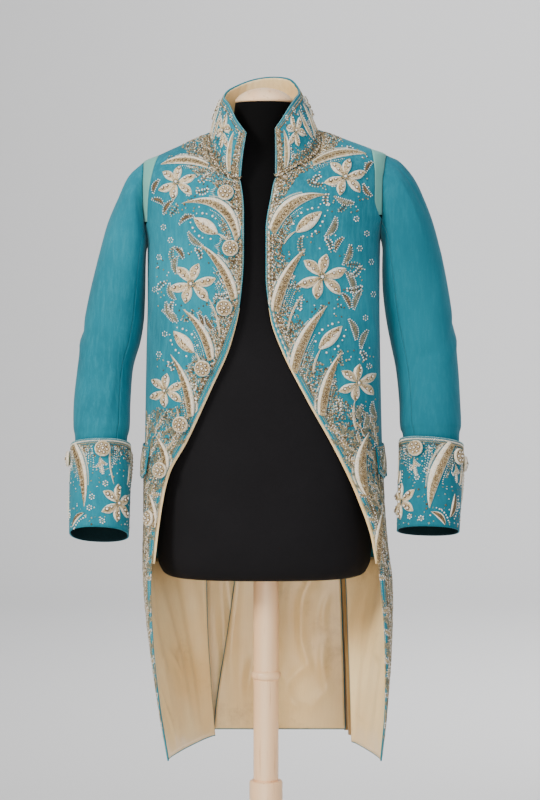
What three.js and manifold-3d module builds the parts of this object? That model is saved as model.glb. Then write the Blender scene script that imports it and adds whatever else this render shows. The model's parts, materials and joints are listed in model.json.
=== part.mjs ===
// A court coat of the late eighteenth century, worn on a limbless dress form with a turned stand.
// Millimetres, +Z up. The coat's front faces -Y. "right" and "left" are the wearer's: right is -X.
// The origin is the middle of the underside of the stand's base.

import * as THREE from 'three';
import { mergeVertices } from 'three/addons/utils/BufferGeometryUtils.js';
import Module from 'manifold-3d';

const wasm = await Module();
wasm.setup();

// ---------------------------------------------------------------- driving dimensions

const SEAM_GAP = 1.2;            // from a piece's edge to the line of its seam
const STRIP_GAP = 3.0;           // beside the pale strips, which bend over the shoulder
const SHOULDER_GAP = 1.4;        // the same where walls meet over a ridge
const BODY_WALL = 2.4;           // wool, interlining and lining together
const SLEEVE_WALL = 1.8;
const CUFF_WALL = 2.6;
const PLEAT_WALL = 1.6;
const LINING_WALL = 1.0;
const LINING_GAP = 0.9;
const STRIP_WALL = 2.0;

const HEM = 355;                 // heights above the floor
const HIP = 880;                 // heads of the side pleats
const ARMPIT = 1219;
const SHOULDER_TIP = 1359;
const STRIP_FOOT = 1256;         // lower point of the pale strips at the shoulders
const NECK_POINT = 1409;

const ARMHOLE_FRONT = { right: 41, left: 48 };   // the armholes' depths before the side line
const ARMHOLE_BACK = 54;         // and behind it
const CHEST_FULLNESS = 0.62;     // how square the chest and back are in plan
const HEM_FULLNESS = 0.15;       // the same for the fronts at the hem, where they hang straight
const SKIRT_TOP = 690;           // below it the fronts hang free of the form
const SHOULDER_LEAN = 0.03;      // the coat sits higher on its left shoulder

const RELIEF_TOLERANCE = 0.5;    // facets of the padded work closer than this are merged
const BUTTON_RADIUS = 13.5;
const BUTTON_DOME = 8.5;

const POLE_RADIUS = 21.5;
const POLE_RING_HEIGHT = 480;
const SOCKET_RADIUS = 28.5;
const SOCKET_TOP = 298;
const BASE_RADIUS = 190;
const BASE_THICKNESS = 25;
const FORM_BOTTOM = 650;
const NECK_TOP = 1452;
const CAP_TOP = 1478;

// ---------------------------------------------------------------- tables of the body's sections

// The free front edge, from the hem up, then the neckline up to the shoulder seam.
// out is the distance from the middle line and forward the distance before it.
const EDGE = {
  right: [
    { z: 355, out: 163, forward: 120 },
    { z: 450, out: 178, forward: 117 },
    { z: 540, out: 187, forward: 112 },
    { z: 640, out: 192, forward: 104 },
    { z: 720, out: 186, forward: 100 },
    { z: 790, out: 176, forward: 98 },
    { z: 832, out: 165, forward: 102 },
    { z: 884, out: 136, forward: 110 },
    { z: 972, out: 94, forward: 122 },
    { z: 1046, out: 60.5, forward: 128 },
    { z: 1122, out: 41.5, forward: 129 },
    { z: 1197, out: 36, forward: 128 },
    { z: 1263, out: 36, forward: 120 },
    { z: 1320, out: 42, forward: 100 },
    { z: 1329, out: 68, forward: 86 },
    { z: 1347, out: 83, forward: 68 },
    { z: 1366, out: 93, forward: 48 },
    { z: 1387, out: 96, forward: 24 },
    { z: 1409, out: 90, forward: -2 },
  ],
  left: [
    { z: 355, out: 192, forward: 120 },
    { z: 450, out: 199, forward: 116 },
    { z: 540, out: 198, forward: 110 },
    { z: 640, out: 191.5, forward: 104 },
    { z: 722, out: 181, forward: 100 },
    { z: 792, out: 157, forward: 100 },
    { z: 864, out: 123, forward: 108 },
    { z: 956, out: 71, forward: 120 },
    { z: 1038, out: 28, forward: 128 },
    { z: 1093, out: 8, forward: 129 },
    { z: 1160, out: -0.4, forward: 129 },
    { z: 1235, out: -0.4, forward: 125 },
    { z: 1291, out: 8, forward: 112 },
    { z: 1321, out: 15, forward: 98 },
    { z: 1332, out: 36, forward: 91 },
    { z: 1348, out: 66, forward: 73 },
    { z: 1364, out: 85, forward: 50 },
    { z: 1387, out: 90, forward: 24 },
    { z: 1409, out: 80, forward: -2 },
  ],
};

// The widest line of the body on each side, and how far back it lies.
// Above the shoulder tip it runs in along the shoulder seam.
const SIDE = [
  { z: 355, right: 164, left: 193, back: -112 },
  { z: 450, right: 180, left: 203, back: -92 },
  { z: 540, right: 194, left: 210, back: -68 },
  { z: 640, right: 204, left: 211, back: -36 },
  { z: 720, right: 207.5, left: 205, back: -8 },
  { z: 800, right: 207.5, left: 200, back: 0 },
  { z: 880, right: 206, left: 197.5, back: 5 },
  { z: 1043, right: 203, left: 194, back: 5 },
  { z: 1120, right: 201, left: 193, back: 5 },
  { z: 1219, right: 201, left: 194, back: 5 },
  { z: 1260, right: 210, left: 204, back: 5 },
  { z: 1290, right: 214.5, left: 208, back: 5 },
  { z: 1320, right: 215, left: 209, back: 6 },
  { z: 1359, right: 207.5, left: 204, back: 7 },
  { z: 1371, right: 180, left: 177, back: 7 },
  { z: 1409, right: 90, left: 80, back: 7 },
];

// The middle line of the back, and the seam between front and back above the pleats.
const BACK = [
  { z: 355, middle: 142, seam: 106 },
  { z: 500, middle: 139, seam: 106 },
  { z: 650, middle: 135, seam: 106 },
  { z: 760, middle: 129, seam: 106 },
  { z: 850, middle: 120, seam: 106 },
  { z: 900, middle: 112, seam: 106 },
  { z: 1000, middle: 104, seam: 119 },
  { z: 1080, middle: 108, seam: 146 },
  { z: 1150, middle: 114, seam: 178 },
  { z: 1195, middle: 117, seam: 196 },
  { z: 1219, middle: 117, seam: 201 },
  { z: 1260, middle: 115, seam: 201 },
  { z: 1300, middle: 110, seam: 201 },
  { z: 1350, middle: 98, seam: 201 },
  { z: 1390, middle: 83, seam: 201 },
  { z: 1409, middle: 73, seam: 201 },
  { z: 1420, middle: 68, seam: 201 },
];

// The back neckline, from the shoulder seams to the middle.
const BACK_NECKLINE = [
  { z: 1409, right: 90, left: 80, back: 7 },
  { z: 1413, right: 78, left: 70, back: 32 },
  { z: 1417, right: 54, left: 50, back: 56 },
  { z: 1420, right: 22, left: 22, back: 66 },
];

// The inner edges of the pale strips before and behind the shoulder seams.
const STRIP_EDGE = [
  { z: 1256, rightFront: 199.5, rightBack: 194, leftFront: 190, leftBack: 189 },
  { z: 1282, rightFront: 198.5, rightBack: 190, leftFront: 182, leftBack: 186 },
  { z: 1303, rightFront: 197, rightBack: 188, leftFront: 182.5, leftBack: 184.5 },
  { z: 1326, rightFront: 193.5, rightBack: 187, leftFront: 182.5, leftBack: 183.5 },
  { z: 1348, rightFront: 188.5, rightBack: 185, leftFront: 180.5, leftBack: 181 },
  { z: 1371, rightFront: 180.5, rightBack: 180.5, leftFront: 177.5, leftBack: 177.5 },
];

// The skirts below the hips: the rear edge of each front, and where each back skirt begins.
const SKIRT = {
  right: [
    { z: 355, rearOut: 90, rearBack: 104, backOut: 113, backBack: 132 },
    { z: 450, rearOut: 96, rearBack: 101, backOut: 112, backBack: 130 },
    { z: 540, rearOut: 101, rearBack: 99, backOut: 111, backBack: 128 },
    { z: 640, rearOut: 103, rearBack: 97, backOut: 110, backBack: 125 },
    { z: 820, rearOut: 105, rearBack: 101, backOut: 107, backBack: 115 },
    { z: 880, rearOut: 106, rearBack: 104, backOut: 106, backBack: 108 },
  ],
  left: [
    { z: 355, rearOut: 149, rearBack: 46, backOut: 141, backBack: 128 },
    { z: 450, rearOut: 145, rearBack: 52, backOut: 139, backBack: 126 },
    { z: 540, rearOut: 141, rearBack: 60, backOut: 136, backBack: 124 },
    { z: 640, rearOut: 137, rearBack: 77, backOut: 132, backBack: 122 },
    { z: 700, rearOut: 134, rearBack: 93, backOut: 127, backBack: 120 },
    { z: 760, rearOut: 124, rearBack: 101, backOut: 119, backBack: 118 },
    { z: 820, rearOut: 113, rearBack: 103, backOut: 111, backBack: 115 },
    { z: 880, rearOut: 106, rearBack: 104, backOut: 106, backBack: 108 },
  ],
};

// The slit in the middle of the back: how far each back skirt laps past the middle line.
// The left one lies inside the right one.
const VENT = [
  { z: 355, rightLap: 26, leftLap: 93, step: 13 },
  { z: 395, rightLap: 25, leftLap: 90, step: 13 },
  { z: 540, rightLap: 24, leftLap: 68, step: 11 },
  { z: 640, rightLap: 22, leftLap: 54, step: 10 },
  { z: 780, rightLap: 18, leftLap: 35, step: 8 },
  { z: 880, rightLap: 12, leftLap: 12, step: 7 },
  { z: 900, rightLap: -0.3, leftLap: -0.3, step: 7 },
  { z: 915, rightLap: -0.3, leftLap: -0.3, step: 0 },
  { z: 1420, rightLap: -0.3, leftLap: -0.3, step: 0 },
];

// ---------------------------------------------------------------- reading tables and shaping paths

/** Reads a column of a table smoothly at any height, with no overshoot between its rows. */
function columnOf(rows, name) {
  const heights = rows.map((row) => row.z);
  const values = rows.map((row) => row[name]);
  const last = rows.length - 1;
  const grade = (i) => (values[i + 1] - values[i]) / (heights[i + 1] - heights[i]);
  const slopes = values.map((_, i) => {
    if (i === 0) return grade(0);
    if (i === last) return grade(last - 1);
    const before = grade(i - 1);
    const after = grade(i);
    return before * after <= 0 ? 0 : (2 * before * after) / (before + after);
  });
  return (z) => {
    const height = THREE.MathUtils.clamp(z, heights[0], heights[last]);
    let i = 0;
    while (i < last - 1 && height > heights[i + 1]) i += 1;
    const span = heights[i + 1] - heights[i];
    const t = (height - heights[i]) / span;
    const t2 = t * t;
    const t3 = t2 * t;
    return (2 * t3 - 3 * t2 + 1) * values[i] + (t3 - 2 * t2 + t) * span * slopes[i]
      + (3 * t2 - 2 * t3) * values[i + 1] + (t3 - t2) * span * slopes[i + 1];
  };
}

/** The two sides of the coat, each with the smooth readings of its tables. */
function makeSide(name, sign) {
  return {
    name,
    sign,
    edgeOut: columnOf(EDGE[name], 'out'),
    edgeForward: columnOf(EDGE[name], 'forward'),
    sideOut: columnOf(SIDE, name),
    sideBack: columnOf(SIDE, 'back'),
    neckOut: columnOf(BACK_NECKLINE, name),
    neckBack: columnOf(BACK_NECKLINE, 'back'),
    rearOut: columnOf(SKIRT[name], 'rearOut'),
    rearBack: columnOf(SKIRT[name], 'rearBack'),
    backOut: columnOf(SKIRT[name], 'backOut'),
    backBack: columnOf(SKIRT[name], 'backBack'),
    lap: columnOf(VENT, `${name}Lap`),
    stripFront: columnOf(STRIP_EDGE, `${name}Front`),
    stripBack: columnOf(STRIP_EDGE, `${name}Back`),
  };
}

const RIGHT = makeSide('right', -1);
const LEFT = makeSide('left', 1);
const backMiddle = columnOf(BACK, 'middle');
const seamOut = columnOf(BACK, 'seam');
const ventStep = columnOf(VENT, 'step');

/** Lifts the left shoulder and lowers the right one a little, fading out at the waist. */
function lean(point) {
  const share = THREE.MathUtils.smoothstep(point.z, 1050, 1250);
  return new THREE.Vector3(point.x, point.y, point.z + SHOULDER_LEAN * share * point.x);
}

/** A quarter turn in plan that leaves start along X and reaches end along Y. */
function quarterTurn(start, end, fullness, steps = 24) {
  const corner = new THREE.Vector3(end.x, start.y, start.z);
  const curve = new THREE.CubicBezierCurve3(
    start,
    start.clone().lerp(corner, fullness),
    end.clone().lerp(corner, fullness),
    end,
  );
  return curve.getPoints(steps);
}

function pathLengths(path) {
  const lengths = [0];
  for (let i = 1; i < path.length; i += 1) {
    lengths.push(lengths[i - 1] + path[i].distanceTo(path[i - 1]));
  }
  return lengths;
}

/** The part of a path between two lengths along it, as evenly spaced points. */
function cutPath(path, from, to, count) {
  const lengths = pathLengths(path);
  const points = [];
  let k = 0;
  for (let i = 0; i <= count; i += 1) {
    const wanted = from + ((to - from) * i) / count;
    while (k < path.length - 2 && lengths[k + 1] < wanted) k += 1;
    const share = (wanted - lengths[k]) / (lengths[k + 1] - lengths[k]);
    points.push(path[k].clone().lerp(path[k + 1], share));
  }
  return points;
}

/** The length along a path at which a measure of its points first reaches a value. */
function lengthWhere(path, measure, value) {
  const lengths = pathLengths(path);
  if (measure(path[0]) > value) return 0;
  for (let i = 1; i < path.length; i += 1) {
    const before = measure(path[i - 1]) - value;
    const after = measure(path[i]) - value;
    if (before <= 0 && after > 0) {
      return lengths[i - 1] + (lengths[i] - lengths[i - 1]) * (before / (before - after));
    }
  }
  return lengths[lengths.length - 1];
}

// ---------------------------------------------------------------- closed solids from grids of points

/** One closed geometry from points and faces, with doubled points merged. */
function solidFrom(points, faces) {
  const geometry = new THREE.BufferGeometry();
  const numbers = new Float32Array(points.length * 3);
  points.forEach((point, i) => point.toArray(numbers, i * 3));
  geometry.setAttribute('position', new THREE.BufferAttribute(numbers, 3));
  geometry.setIndex(faces);
  return geometry;
}

/** The way a grid of points faces at each of them, with rings closed when asked. */
function gridNormals(grid, closed = false) {
  const rows = grid.length;
  const columns = grid[0].length;
  return grid.map((row, i) => row.map((_, j) => {
    const up = grid[Math.min(i + 1, rows - 1)][j];
    const down = grid[Math.max(i - 1, 0)][j];
    const ahead = closed ? row[(j + 1) % columns] : row[Math.min(j + 1, columns - 1)];
    const behind = closed ? row[(j + columns - 1) % columns] : row[Math.max(j - 1, 0)];
    const across = ahead.clone().sub(behind);
    return across.cross(up.clone().sub(down)).normalize();
  }));
}

/** Moves every point of a grid along the way it faces. */
function offsetGrid(grid, distance, closed = false) {
  const normals = gridNormals(grid, closed);
  return grid.map((row, i) => row.map((point, j) => point.clone().addScaledVector(normals[i][j], distance)));
}

/**
 * A wall between two grids of the same size, as one closed solid. Rows run upwards, and
 * columns run so that column, row and the outer face's normal are right-handed.
 */
function wallBetween(outer, inner, closed = false) {
  const rows = outer.length;
  const columns = outer[0].length;
  const points = [...outer.flat(), ...inner.flat()];
  const innerStart = rows * columns;
  const faces = [];
  const quad = (a, b, c, d) => faces.push(a, b, c, a, c, d);
  const spans = closed ? columns : columns - 1;
  for (let i = 0; i < rows - 1; i += 1) {
    for (let j = 0; j < spans; j += 1) {
      const a = i * columns + j;
      const b = i * columns + ((j + 1) % columns);
      const c = b + columns;
      const d = a + columns;
      quad(a, b, c, d);
      quad(innerStart + a, innerStart + d, innerStart + c, innerStart + b);
    }
  }
  for (let j = 0; j < spans; j += 1) {
    const a = j;
    const b = (j + 1) % columns;
    quad(a, innerStart + a, innerStart + b, b);
    const top = (rows - 1) * columns;
    quad(top + a, top + b, innerStart + top + b, innerStart + top + a);
  }
  if (!closed) {
    for (let i = 0; i < rows - 1; i += 1) {
      const a = i * columns;
      const d = a + columns;
      quad(a, d, innerStart + d, innerStart + a);
      const b = a + columns - 1;
      const c = b + columns;
      quad(b, innerStart + b, innerStart + c, c);
    }
  }
  return solidFrom(points, faces);
}

/** A wall of even thickness under a grid of its outer points. */
function wall(outer, thickness, closed = false) {
  return wallBetween(outer, offsetGrid(outer, -thickness, closed), closed);
}

/** A closed skin over rings that run upwards, each turning anticlockwise from above. */
function loft(rings) {
  const count = rings[0].length;
  const points = rings.flat();
  const faces = [];
  for (let i = 0; i < rings.length - 1; i += 1) {
    for (let j = 0; j < count; j += 1) {
      const a = i * count + j;
      const b = i * count + ((j + 1) % count);
      faces.push(a, b, b + count, a, b + count, a + count);
    }
  }
  const middle = (ring) => ring.reduce((sum, p) => sum.add(p), new THREE.Vector3()).divideScalar(count);
  const bottom = points.push(middle(rings[0])) - 1;
  const top = points.push(middle(rings[rings.length - 1])) - 1;
  const lastRing = (rings.length - 1) * count;
  for (let j = 0; j < count; j += 1) {
    const next = (j + 1) % count;
    faces.push(bottom, next, j);
    faces.push(top, lastRing + j, lastRing + next);
  }
  return solidFrom(points, faces);
}

function toManifold(geometry) {
  const bare = geometry.clone();
  bare.deleteAttribute('normal');
  bare.deleteAttribute('uv');
  const merged = mergeVertices(bare, 1e-4);
  return new wasm.Manifold(new wasm.Mesh({
    numProp: 3,
    vertProperties: new Float32Array(merged.attributes.position.array),
    triVerts: new Uint32Array(merged.index.array),
  }));
}

function fromManifold(solid) {
  const mesh = solid.getMesh();
  const geometry = new THREE.BufferGeometry();
  geometry.setAttribute('position', new THREE.BufferAttribute(new Float32Array(mesh.vertProperties), 3));
  geometry.setIndex([...mesh.triVerts]);
  return geometry;
}

// ---------------------------------------------------------------- materials and the finished group

const coat = new THREE.Group();

const finish = (color, roughness, metalness = 0) => ({ color, roughness, metalness });
const WOOL = finish('#2f8e9e', 0.9);
const SATIN = finish('#cdbb93', 0.45);
const STRIP_SILK = finish('#86bfb4', 0.6);
const GILT_THREAD = finish('#cfc19a', 0.45, 0.4);
const JERSEY = finish('#18181c', 0.95);
const PALE_WOOD = finish('#e2c4a8', 0.55);

function addPiece(name, geometry, look) {
  const piece = new THREE.Mesh(geometry, new THREE.MeshStandardMaterial(look));
  piece.name = name;
  coat.add(piece);
  return piece;
}

// ---------------------------------------------------------------- the body's rows

/** A row of the chest and waist in plan: front edge, side, and middle of the back. */
function torsoRow(side, z) {
  const edge = new THREE.Vector3(side.sign * side.edgeOut(z), -side.edgeForward(z), z);
  const widest = new THREE.Vector3(side.sign * side.sideOut(z), side.sideBack(z), z);
  const middle = new THREE.Vector3(0, backMiddle(z), z);
  return {
    front: quarterTurn(edge, widest, CHEST_FULLNESS),
    back: quarterTurn(middle, widest, CHEST_FULLNESS).reverse(),
  };
}

/** How far the armhole reaches before or behind the side line at a height. */
function armholeReach(z, halfDepth) {
  const middle = (ARMPIT + SHOULDER_TIP) / 2;
  const half = (SHOULDER_TIP - ARMPIT) / 2;
  return halfDepth * Math.sqrt(Math.max(0, 1 - ((z - middle) / half) ** 2));
}

/** Where a row of the front meets the armhole or the shoulder seam, as a length along it. */
function frontRowEnd(side, z, path) {
  const whole = pathLengths(path).at(-1);
  if (z >= SHOULDER_TIP) return whole - SHOULDER_GAP;
  return lengthWhere(path, (p) => p.y, side.sideBack(z) - armholeReach(z, ARMHOLE_FRONT[side.name]));
}

function backRowStart(side, z, path) {
  if (z >= SHOULDER_TIP) return SHOULDER_GAP;
  return lengthWhere(path, (p) => p.y, side.sideBack(z) + armholeReach(z, ARMHOLE_BACK));
}

/** The widths of the pale strip, along a row's front half and back half. */
function frontStrip(side, z, path) {
  const from = lengthWhere(path, (p) => Math.abs(p.x), side.stripFront(z));
  return z < STRIP_FOOT ? 0 : Math.max(0, frontRowEnd(side, z, path) - from);
}

function backStrip(side, z, path) {
  const to = lengthWhere(path, (p) => -Math.abs(p.x), -side.stripBack(z));
  return z < STRIP_FOOT ? 0 : Math.max(0, to - backRowStart(side, z, path));
}

const mixRows = (a, b, share) => a.map((point, i) => point.clone().lerp(b[i], share));
const skirtShare = (z) => 1 - THREE.MathUtils.smoothstep(z, HIP - 80, HIP);

/** A row of a front from its free edge to the side seam, armhole or shoulder seam. */
function frontRow(side, z, count) {
  const torso = torsoRow(side, z);
  if (z >= ARMPIT) {
    const end = frontRowEnd(side, z, torso.front);
    const strip = frontStrip(side, z, torso.front);
    return cutPath(torso.front, 0, end - (strip > 0 ? strip + STRIP_GAP : 0), count);
  }
  const behind = torso.back.slice(1);
  const seam = lengthWhere(torso.back, (p) => -Math.abs(p.x), -seamOut(z)) - SEAM_GAP;
  const upTo = pathLengths(torso.front).at(-1) + seam;
  const above = cutPath([...torso.front, ...behind], 0, upTo, count);
  if (z >= HIP) return above;
  const widest = torso.front.at(-1);
  const rear = new THREE.Vector3(side.sign * side.rearOut(z), side.rearBack(z), z);
  const fullness = THREE.MathUtils.mapLinear(Math.min(z, SKIRT_TOP), HEM, SKIRT_TOP, HEM_FULLNESS, CHEST_FULLNESS);
  const turn = quarterTurn(rear, widest, fullness).reverse().slice(1);
  const whole = [...torso.front, ...turn];
  const below = cutPath(whole, 0, pathLengths(whole).at(-1) - SEAM_GAP, count);
  return mixRows(above, below, skirtShare(z));
}

/** A row of a back from its side seam, armhole or shoulder seam to the middle of the back. */
function backRow(side, z, count) {
  const lapTo = -side.sign * side.lap(z);
  const inner = side === LEFT ? ventStep(z) : 0;
  const middle = new THREE.Vector3(lapTo, backMiddle(z) - inner, z);
  if (z > NECK_POINT) {
    const corner = new THREE.Vector3(side.sign * side.neckOut(z), side.neckBack(z), z);
    const neckline = quarterTurn(middle, corner, CHEST_FULLNESS).reverse();
    return cutPath(neckline, 0, pathLengths(neckline).at(-1), count);
  }
  const widest = new THREE.Vector3(side.sign * side.sideOut(z), side.sideBack(z), z);
  const path = quarterTurn(middle, widest, CHEST_FULLNESS).reverse();
  const whole = pathLengths(path).at(-1);
  if (z >= ARMPIT) {
    const strip = backStrip(side, z, path);
    return cutPath(path, backRowStart(side, z, path) + (strip > 0 ? strip + STRIP_GAP : 0), whole, count);
  }
  const seam = lengthWhere(path, (p) => -Math.abs(p.x), -seamOut(z)) + SEAM_GAP;
  const above = cutPath(path, seam, whole, count);
  if (z >= HIP) return above;
  const start = new THREE.Vector3(side.sign * side.backOut(z), side.backBack(z), z);
  const skirt = quarterTurn(middle, start, CHEST_FULLNESS).reverse();
  const below = cutPath(skirt, SEAM_GAP, pathLengths(skirt).at(-1), count);
  return mixRows(above, below, skirtShare(z));
}

/** The same rows for both sides face outwards: the right side's columns are turned round. */
const facing = (side, grid) => (side.sign < 0 ? grid.map((row) => [...row].reverse()) : grid);

const leaned = (grid) => grid.map((row) => row.map(lean));

// ---------------------------------------------------------------- fronts and their raised embroidery

const FRONT_COLUMNS = 8;
const SHOULDER_ROWS = [1262, 1290, 1320, 1330, 1346, 1359, 1366, 1370];
const BODY_ROWS = [
  440, 520, 600, 680, 740, 800, 840, 880, 930, 990, 1055, 1105, 1155, 1195, 1212, 1219.01, 1224, 1238,
  ...SHOULDER_ROWS, 1371, 1387,
];
const FRONT_ROWS = [HEM, ...BODY_ROWS, 1403];

/** A point of a front's outer face, by its place across and its height. */
function onFront(side, x, z) {
  const path = torsoRow(side, z).front;
  const at = lengthWhere(path, (p) => side.sign * p.x, side.sign * x);
  return cutPath(path, at, at, 1)[0];
}

/** A point and outward direction of a front's outer face. */
function frontPlace(side) {
  return (x, z) => {
    const step = 4;
    const point = lean(onFront(side, x, z));
    const across = lean(onFront(side, x + step, z)).sub(lean(onFront(side, x - step, z)));
    const up = lean(onFront(side, x, z + step)).sub(lean(onFront(side, x, z - step)));
    return { point, normal: across.cross(up).normalize() };
  };
}

/**
 * A padded leaf: a ridge from one end to the other, bowed aside by bow, width across its
 * widest place, which lies at the share fat of its length.
 */
function paddedLeaf(place, leaf) {
  const { x0, z0, x1, z1, bow = 0, width, lift = 6, fat = 0.5, steps = 4 } = leaf;
  const sink = -1.2;
  const tip = 0.08;
  const along = new THREE.Vector2(x1 - x0, z1 - z0);
  const aside = new THREE.Vector2(-along.y, along.x).normalize();
  const power = Math.log(0.5) / Math.log(fat);
  const rings = [];
  for (let i = 0; i <= steps; i += 1) {
    const t = i / steps;
    const swell = Math.max(tip, Math.sin(Math.PI * t ** power));
    const half = (width / 2) * swell;
    const arch = bow * 4 * t * (1 - t);
    const x = x0 + along.x * t + aside.x * arch;
    const z = z0 + along.y * t + aside.y * arch;
    const one = place(x + aside.x * half, z + aside.y * half);
    const other = place(x - aside.x * half, z - aside.y * half);
    const crest = place(x, z);
    rings.push([
      other.point.addScaledVector(other.normal, sink),
      one.point.addScaledVector(one.normal, sink),
      crest.point.addScaledVector(crest.normal, sink + (lift - sink) * Math.sqrt(swell)),
    ]);
  }
  return toManifold(loft(rings));
}

/** A flower of padded petals round a raised middle. */
function paddedFlower(place, { x, z, radius, turn = 0, petals = 6 }) {
  const parts = [];
  for (let i = 0; i < petals; i += 1) {
    const angle = turn + (i * 2 * Math.PI) / petals;
    const direction = new THREE.Vector2(Math.cos(angle), Math.sin(angle));
    parts.push(paddedLeaf(place, {
      x0: x + direction.x * radius * 0.12,
      z0: z + direction.y * radius * 0.12,
      x1: x + direction.x * radius,
      z1: z + direction.y * radius,
      width: radius * 0.48,
      fat: 0.55,
      steps: 3,
    }));
  }
  return parts;
}

// Flowers, padded crescents, buds and leaves of the two fronts, by their place across and height.
const FRONT_FLOWERS = {
  right: [
    { x: -148, z: 1319, radius: 33, turn: 0.35 },
    { x: -122, z: 1149, radius: 38, turn: 0.2 },
    { x: -168, z: 975, radius: 34, turn: 0.45 },
  ],
  left: [
    { x: 131, z: 1320, radius: 36, turn: 0.25 },
    { x: 92, z: 1157, radius: 42, turn: 0.3 },
    { x: 152, z: 983, radius: 35, turn: 0.4 },
  ],
};

const FRONT_LEAVES = {
  right: [
    { x0: -170, z0: 1352, x1: -108, z1: 1352, bow: 10, width: 17 },
    { x0: -137, z0: 1280, x1: -52, z1: 1254, bow: 20, width: 20, fat: 0.6 },
    { x0: -82, z0: 1234, x1: -119, z1: 1257, width: 22, fat: 0.4 },
    { x0: -108, z0: 1212, x1: -57, z1: 1124, bow: 9, width: 16 },
    { x0: -136, z0: 1104, x1: -91, z1: 1027, bow: 9, width: 15 },
    { x0: -121, z0: 1036, x1: -151, z1: 1067, width: 21, fat: 0.4 },
    { x0: -156, z0: 1025, x1: -129, z1: 930, bow: 8, width: 14 },
    { x0: -120, z0: 1228, x1: -104, z1: 1213, bow: -4, width: 9, steps: 3 },
    { x0: -146, z0: 1185, x1: -148, z1: 1162, bow: -4, width: 9, steps: 3 },
    { x0: -158, z0: 1143, x1: -150, z1: 1118, bow: -4, width: 9, steps: 3 },
    { x0: -160, z0: 1090, x1: -146, z1: 1104, bow: 3, width: 10, steps: 3 },
  ],
  left: [
    { x0: 88, z0: 1346, x1: 160, z1: 1358, bow: 9, width: 17 },
    { x0: 16, z0: 1246, x1: 97, z1: 1289, bow: 12, width: 22, fat: 0.4 },
    { x0: 52, z0: 1233, x1: 90, z1: 1261, width: 22, fat: 0.4 },
    { x0: 17, z0: 1112, x1: 64, z1: 1199, bow: 7, width: 19 },
    { x0: 52, z0: 1012, x1: 99, z1: 1107, bow: 8, width: 20 },
    { x0: 90, z0: 1042, x1: 124, z1: 1075, width: 21, fat: 0.4 },
    { x0: 99, z0: 937, x1: 124, z1: 1032, bow: 7, width: 16 },
    { x0: 143, z0: 890, x1: 171, z1: 802, bow: -5, width: 14 },
    { x0: 98, z0: 1224, x1: 113, z1: 1252, bow: -5, width: 12, steps: 3 },
    { x0: 130, z0: 1178, x1: 136, z1: 1204, bow: -4, width: 10, steps: 3 },
    { x0: 134, z0: 1162, x1: 143, z1: 1128, bow: 4, width: 11, steps: 3 },
    { x0: 137, z0: 1085, x1: 145, z1: 1058, bow: 4, width: 11, steps: 3 },
    { x0: 120, z0: 1287, x1: 142, z1: 1276, bow: -3, width: 11, steps: 3 },
  ],
};

const FRONT_BUTTONS = [
  { x: -66, z: 1298 },
  { x: -58, z: 1207 },
  { x: -68, z: 1108 },
  { x: -104, z: 1008 },
  { x: -141, z: 915 },
  { x: -175, z: 838 },
  { x: -193, z: 757 },
];

/** Turns and moves a shape that was made along +Z so that it stands on a place of the cloth. */
function standOn({ point, normal }, clearance) {
  const turn = new THREE.Quaternion().setFromUnitVectors(new THREE.Vector3(0, 0, 1), normal);
  return new THREE.Matrix4().compose(
    point.clone().addScaledVector(normal, clearance),
    turn,
    new THREE.Vector3(1, 1, 1),
  );
}

function buttonShape() {
  const r = BUTTON_RADIUS;
  const profile = [
    [0, 0],
    [r * 0.72, 0],
    [r, 2.6],
    [r * 0.74, 6.8],
    [0, BUTTON_DOME],
  ];
  const lathe = new THREE.LatheGeometry(profile.map(([x, y]) => new THREE.Vector2(x, y)), 10);
  return lathe.rotateX(Math.PI / 2);
}

/** Room for a button in the padded work around it. */
function buttonRoom(place) {
  const room = new THREE.CylinderGeometry(BUTTON_RADIUS + 0.6, BUTTON_RADIUS + 0.6, 14, 16);
  room.rotateX(Math.PI / 2).translate(0, 0, 7.2);
  return toManifold(room.applyMatrix4(standOn(place, 0)));
}

/** Joins padded work to a wall, and fills the slits that coarse facets leave under it. */
function raise(base, pads, rooms = []) {
  let relief = wasm.Manifold.union(pads);
  if (rooms.length > 0) relief = relief.subtract(wasm.Manifold.union(rooms));
  const bodies = base.add(relief).simplify(RELIEF_TOLERANCE).decompose();
  const whole = bodies.reduce((largest, body) => (body.volume() > largest.volume() ? body : largest));
  return fromManifold(whole);
}

const frontGrid = {};
for (const side of [RIGHT, LEFT]) {
  const grid = FRONT_ROWS.map((z) => frontRow(side, z, FRONT_COLUMNS));
  const outer = leaned(facing(side, grid));
  frontGrid[side.name] = outer;
  const place = frontPlace(side);
  const pads = [
    ...FRONT_FLOWERS[side.name].flatMap((flower) => paddedFlower(place, flower)),
    ...FRONT_LEAVES[side.name].map((leaf) => paddedLeaf(place, leaf)),
  ];
  const rooms = side === RIGHT ? FRONT_BUTTONS.map(({ x, z }) => buttonRoom(place(x, z))) : [];
  addPiece(`front_${side.name}`, raise(toManifold(wall(outer, BODY_WALL)), pads, rooms), WOOL);
}

FRONT_BUTTONS.forEach(({ x, z }, i) => {
  const button = buttonShape().applyMatrix4(standOn(frontPlace(RIGHT)(x, z), 0.5));
  addPiece(`front_button_${i + 1}`, button, GILT_THREAD);
});

// ---------------------------------------------------------------- backs

const BACK_COLUMNS = 6;
const BACK_HEM = 362;
const BACK_ROWS = [BACK_HEM, ...BODY_ROWS.filter((z) => z <= HIP), 900, 915, ...BODY_ROWS.filter((z) => z > HIP),
  1409, 1413, 1417, 1420];

const backGrid = {};
for (const side of [RIGHT, LEFT]) {
  const grid = BACK_ROWS.map((z) => backRow(side, z, BACK_COLUMNS));
  backGrid[side.name] = leaned(facing(side, grid));
  addPiece(`back_${side.name}`, wall(backGrid[side.name], BODY_WALL), WOOL);
}

// ---------------------------------------------------------------- pale strips at the shoulders

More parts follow.
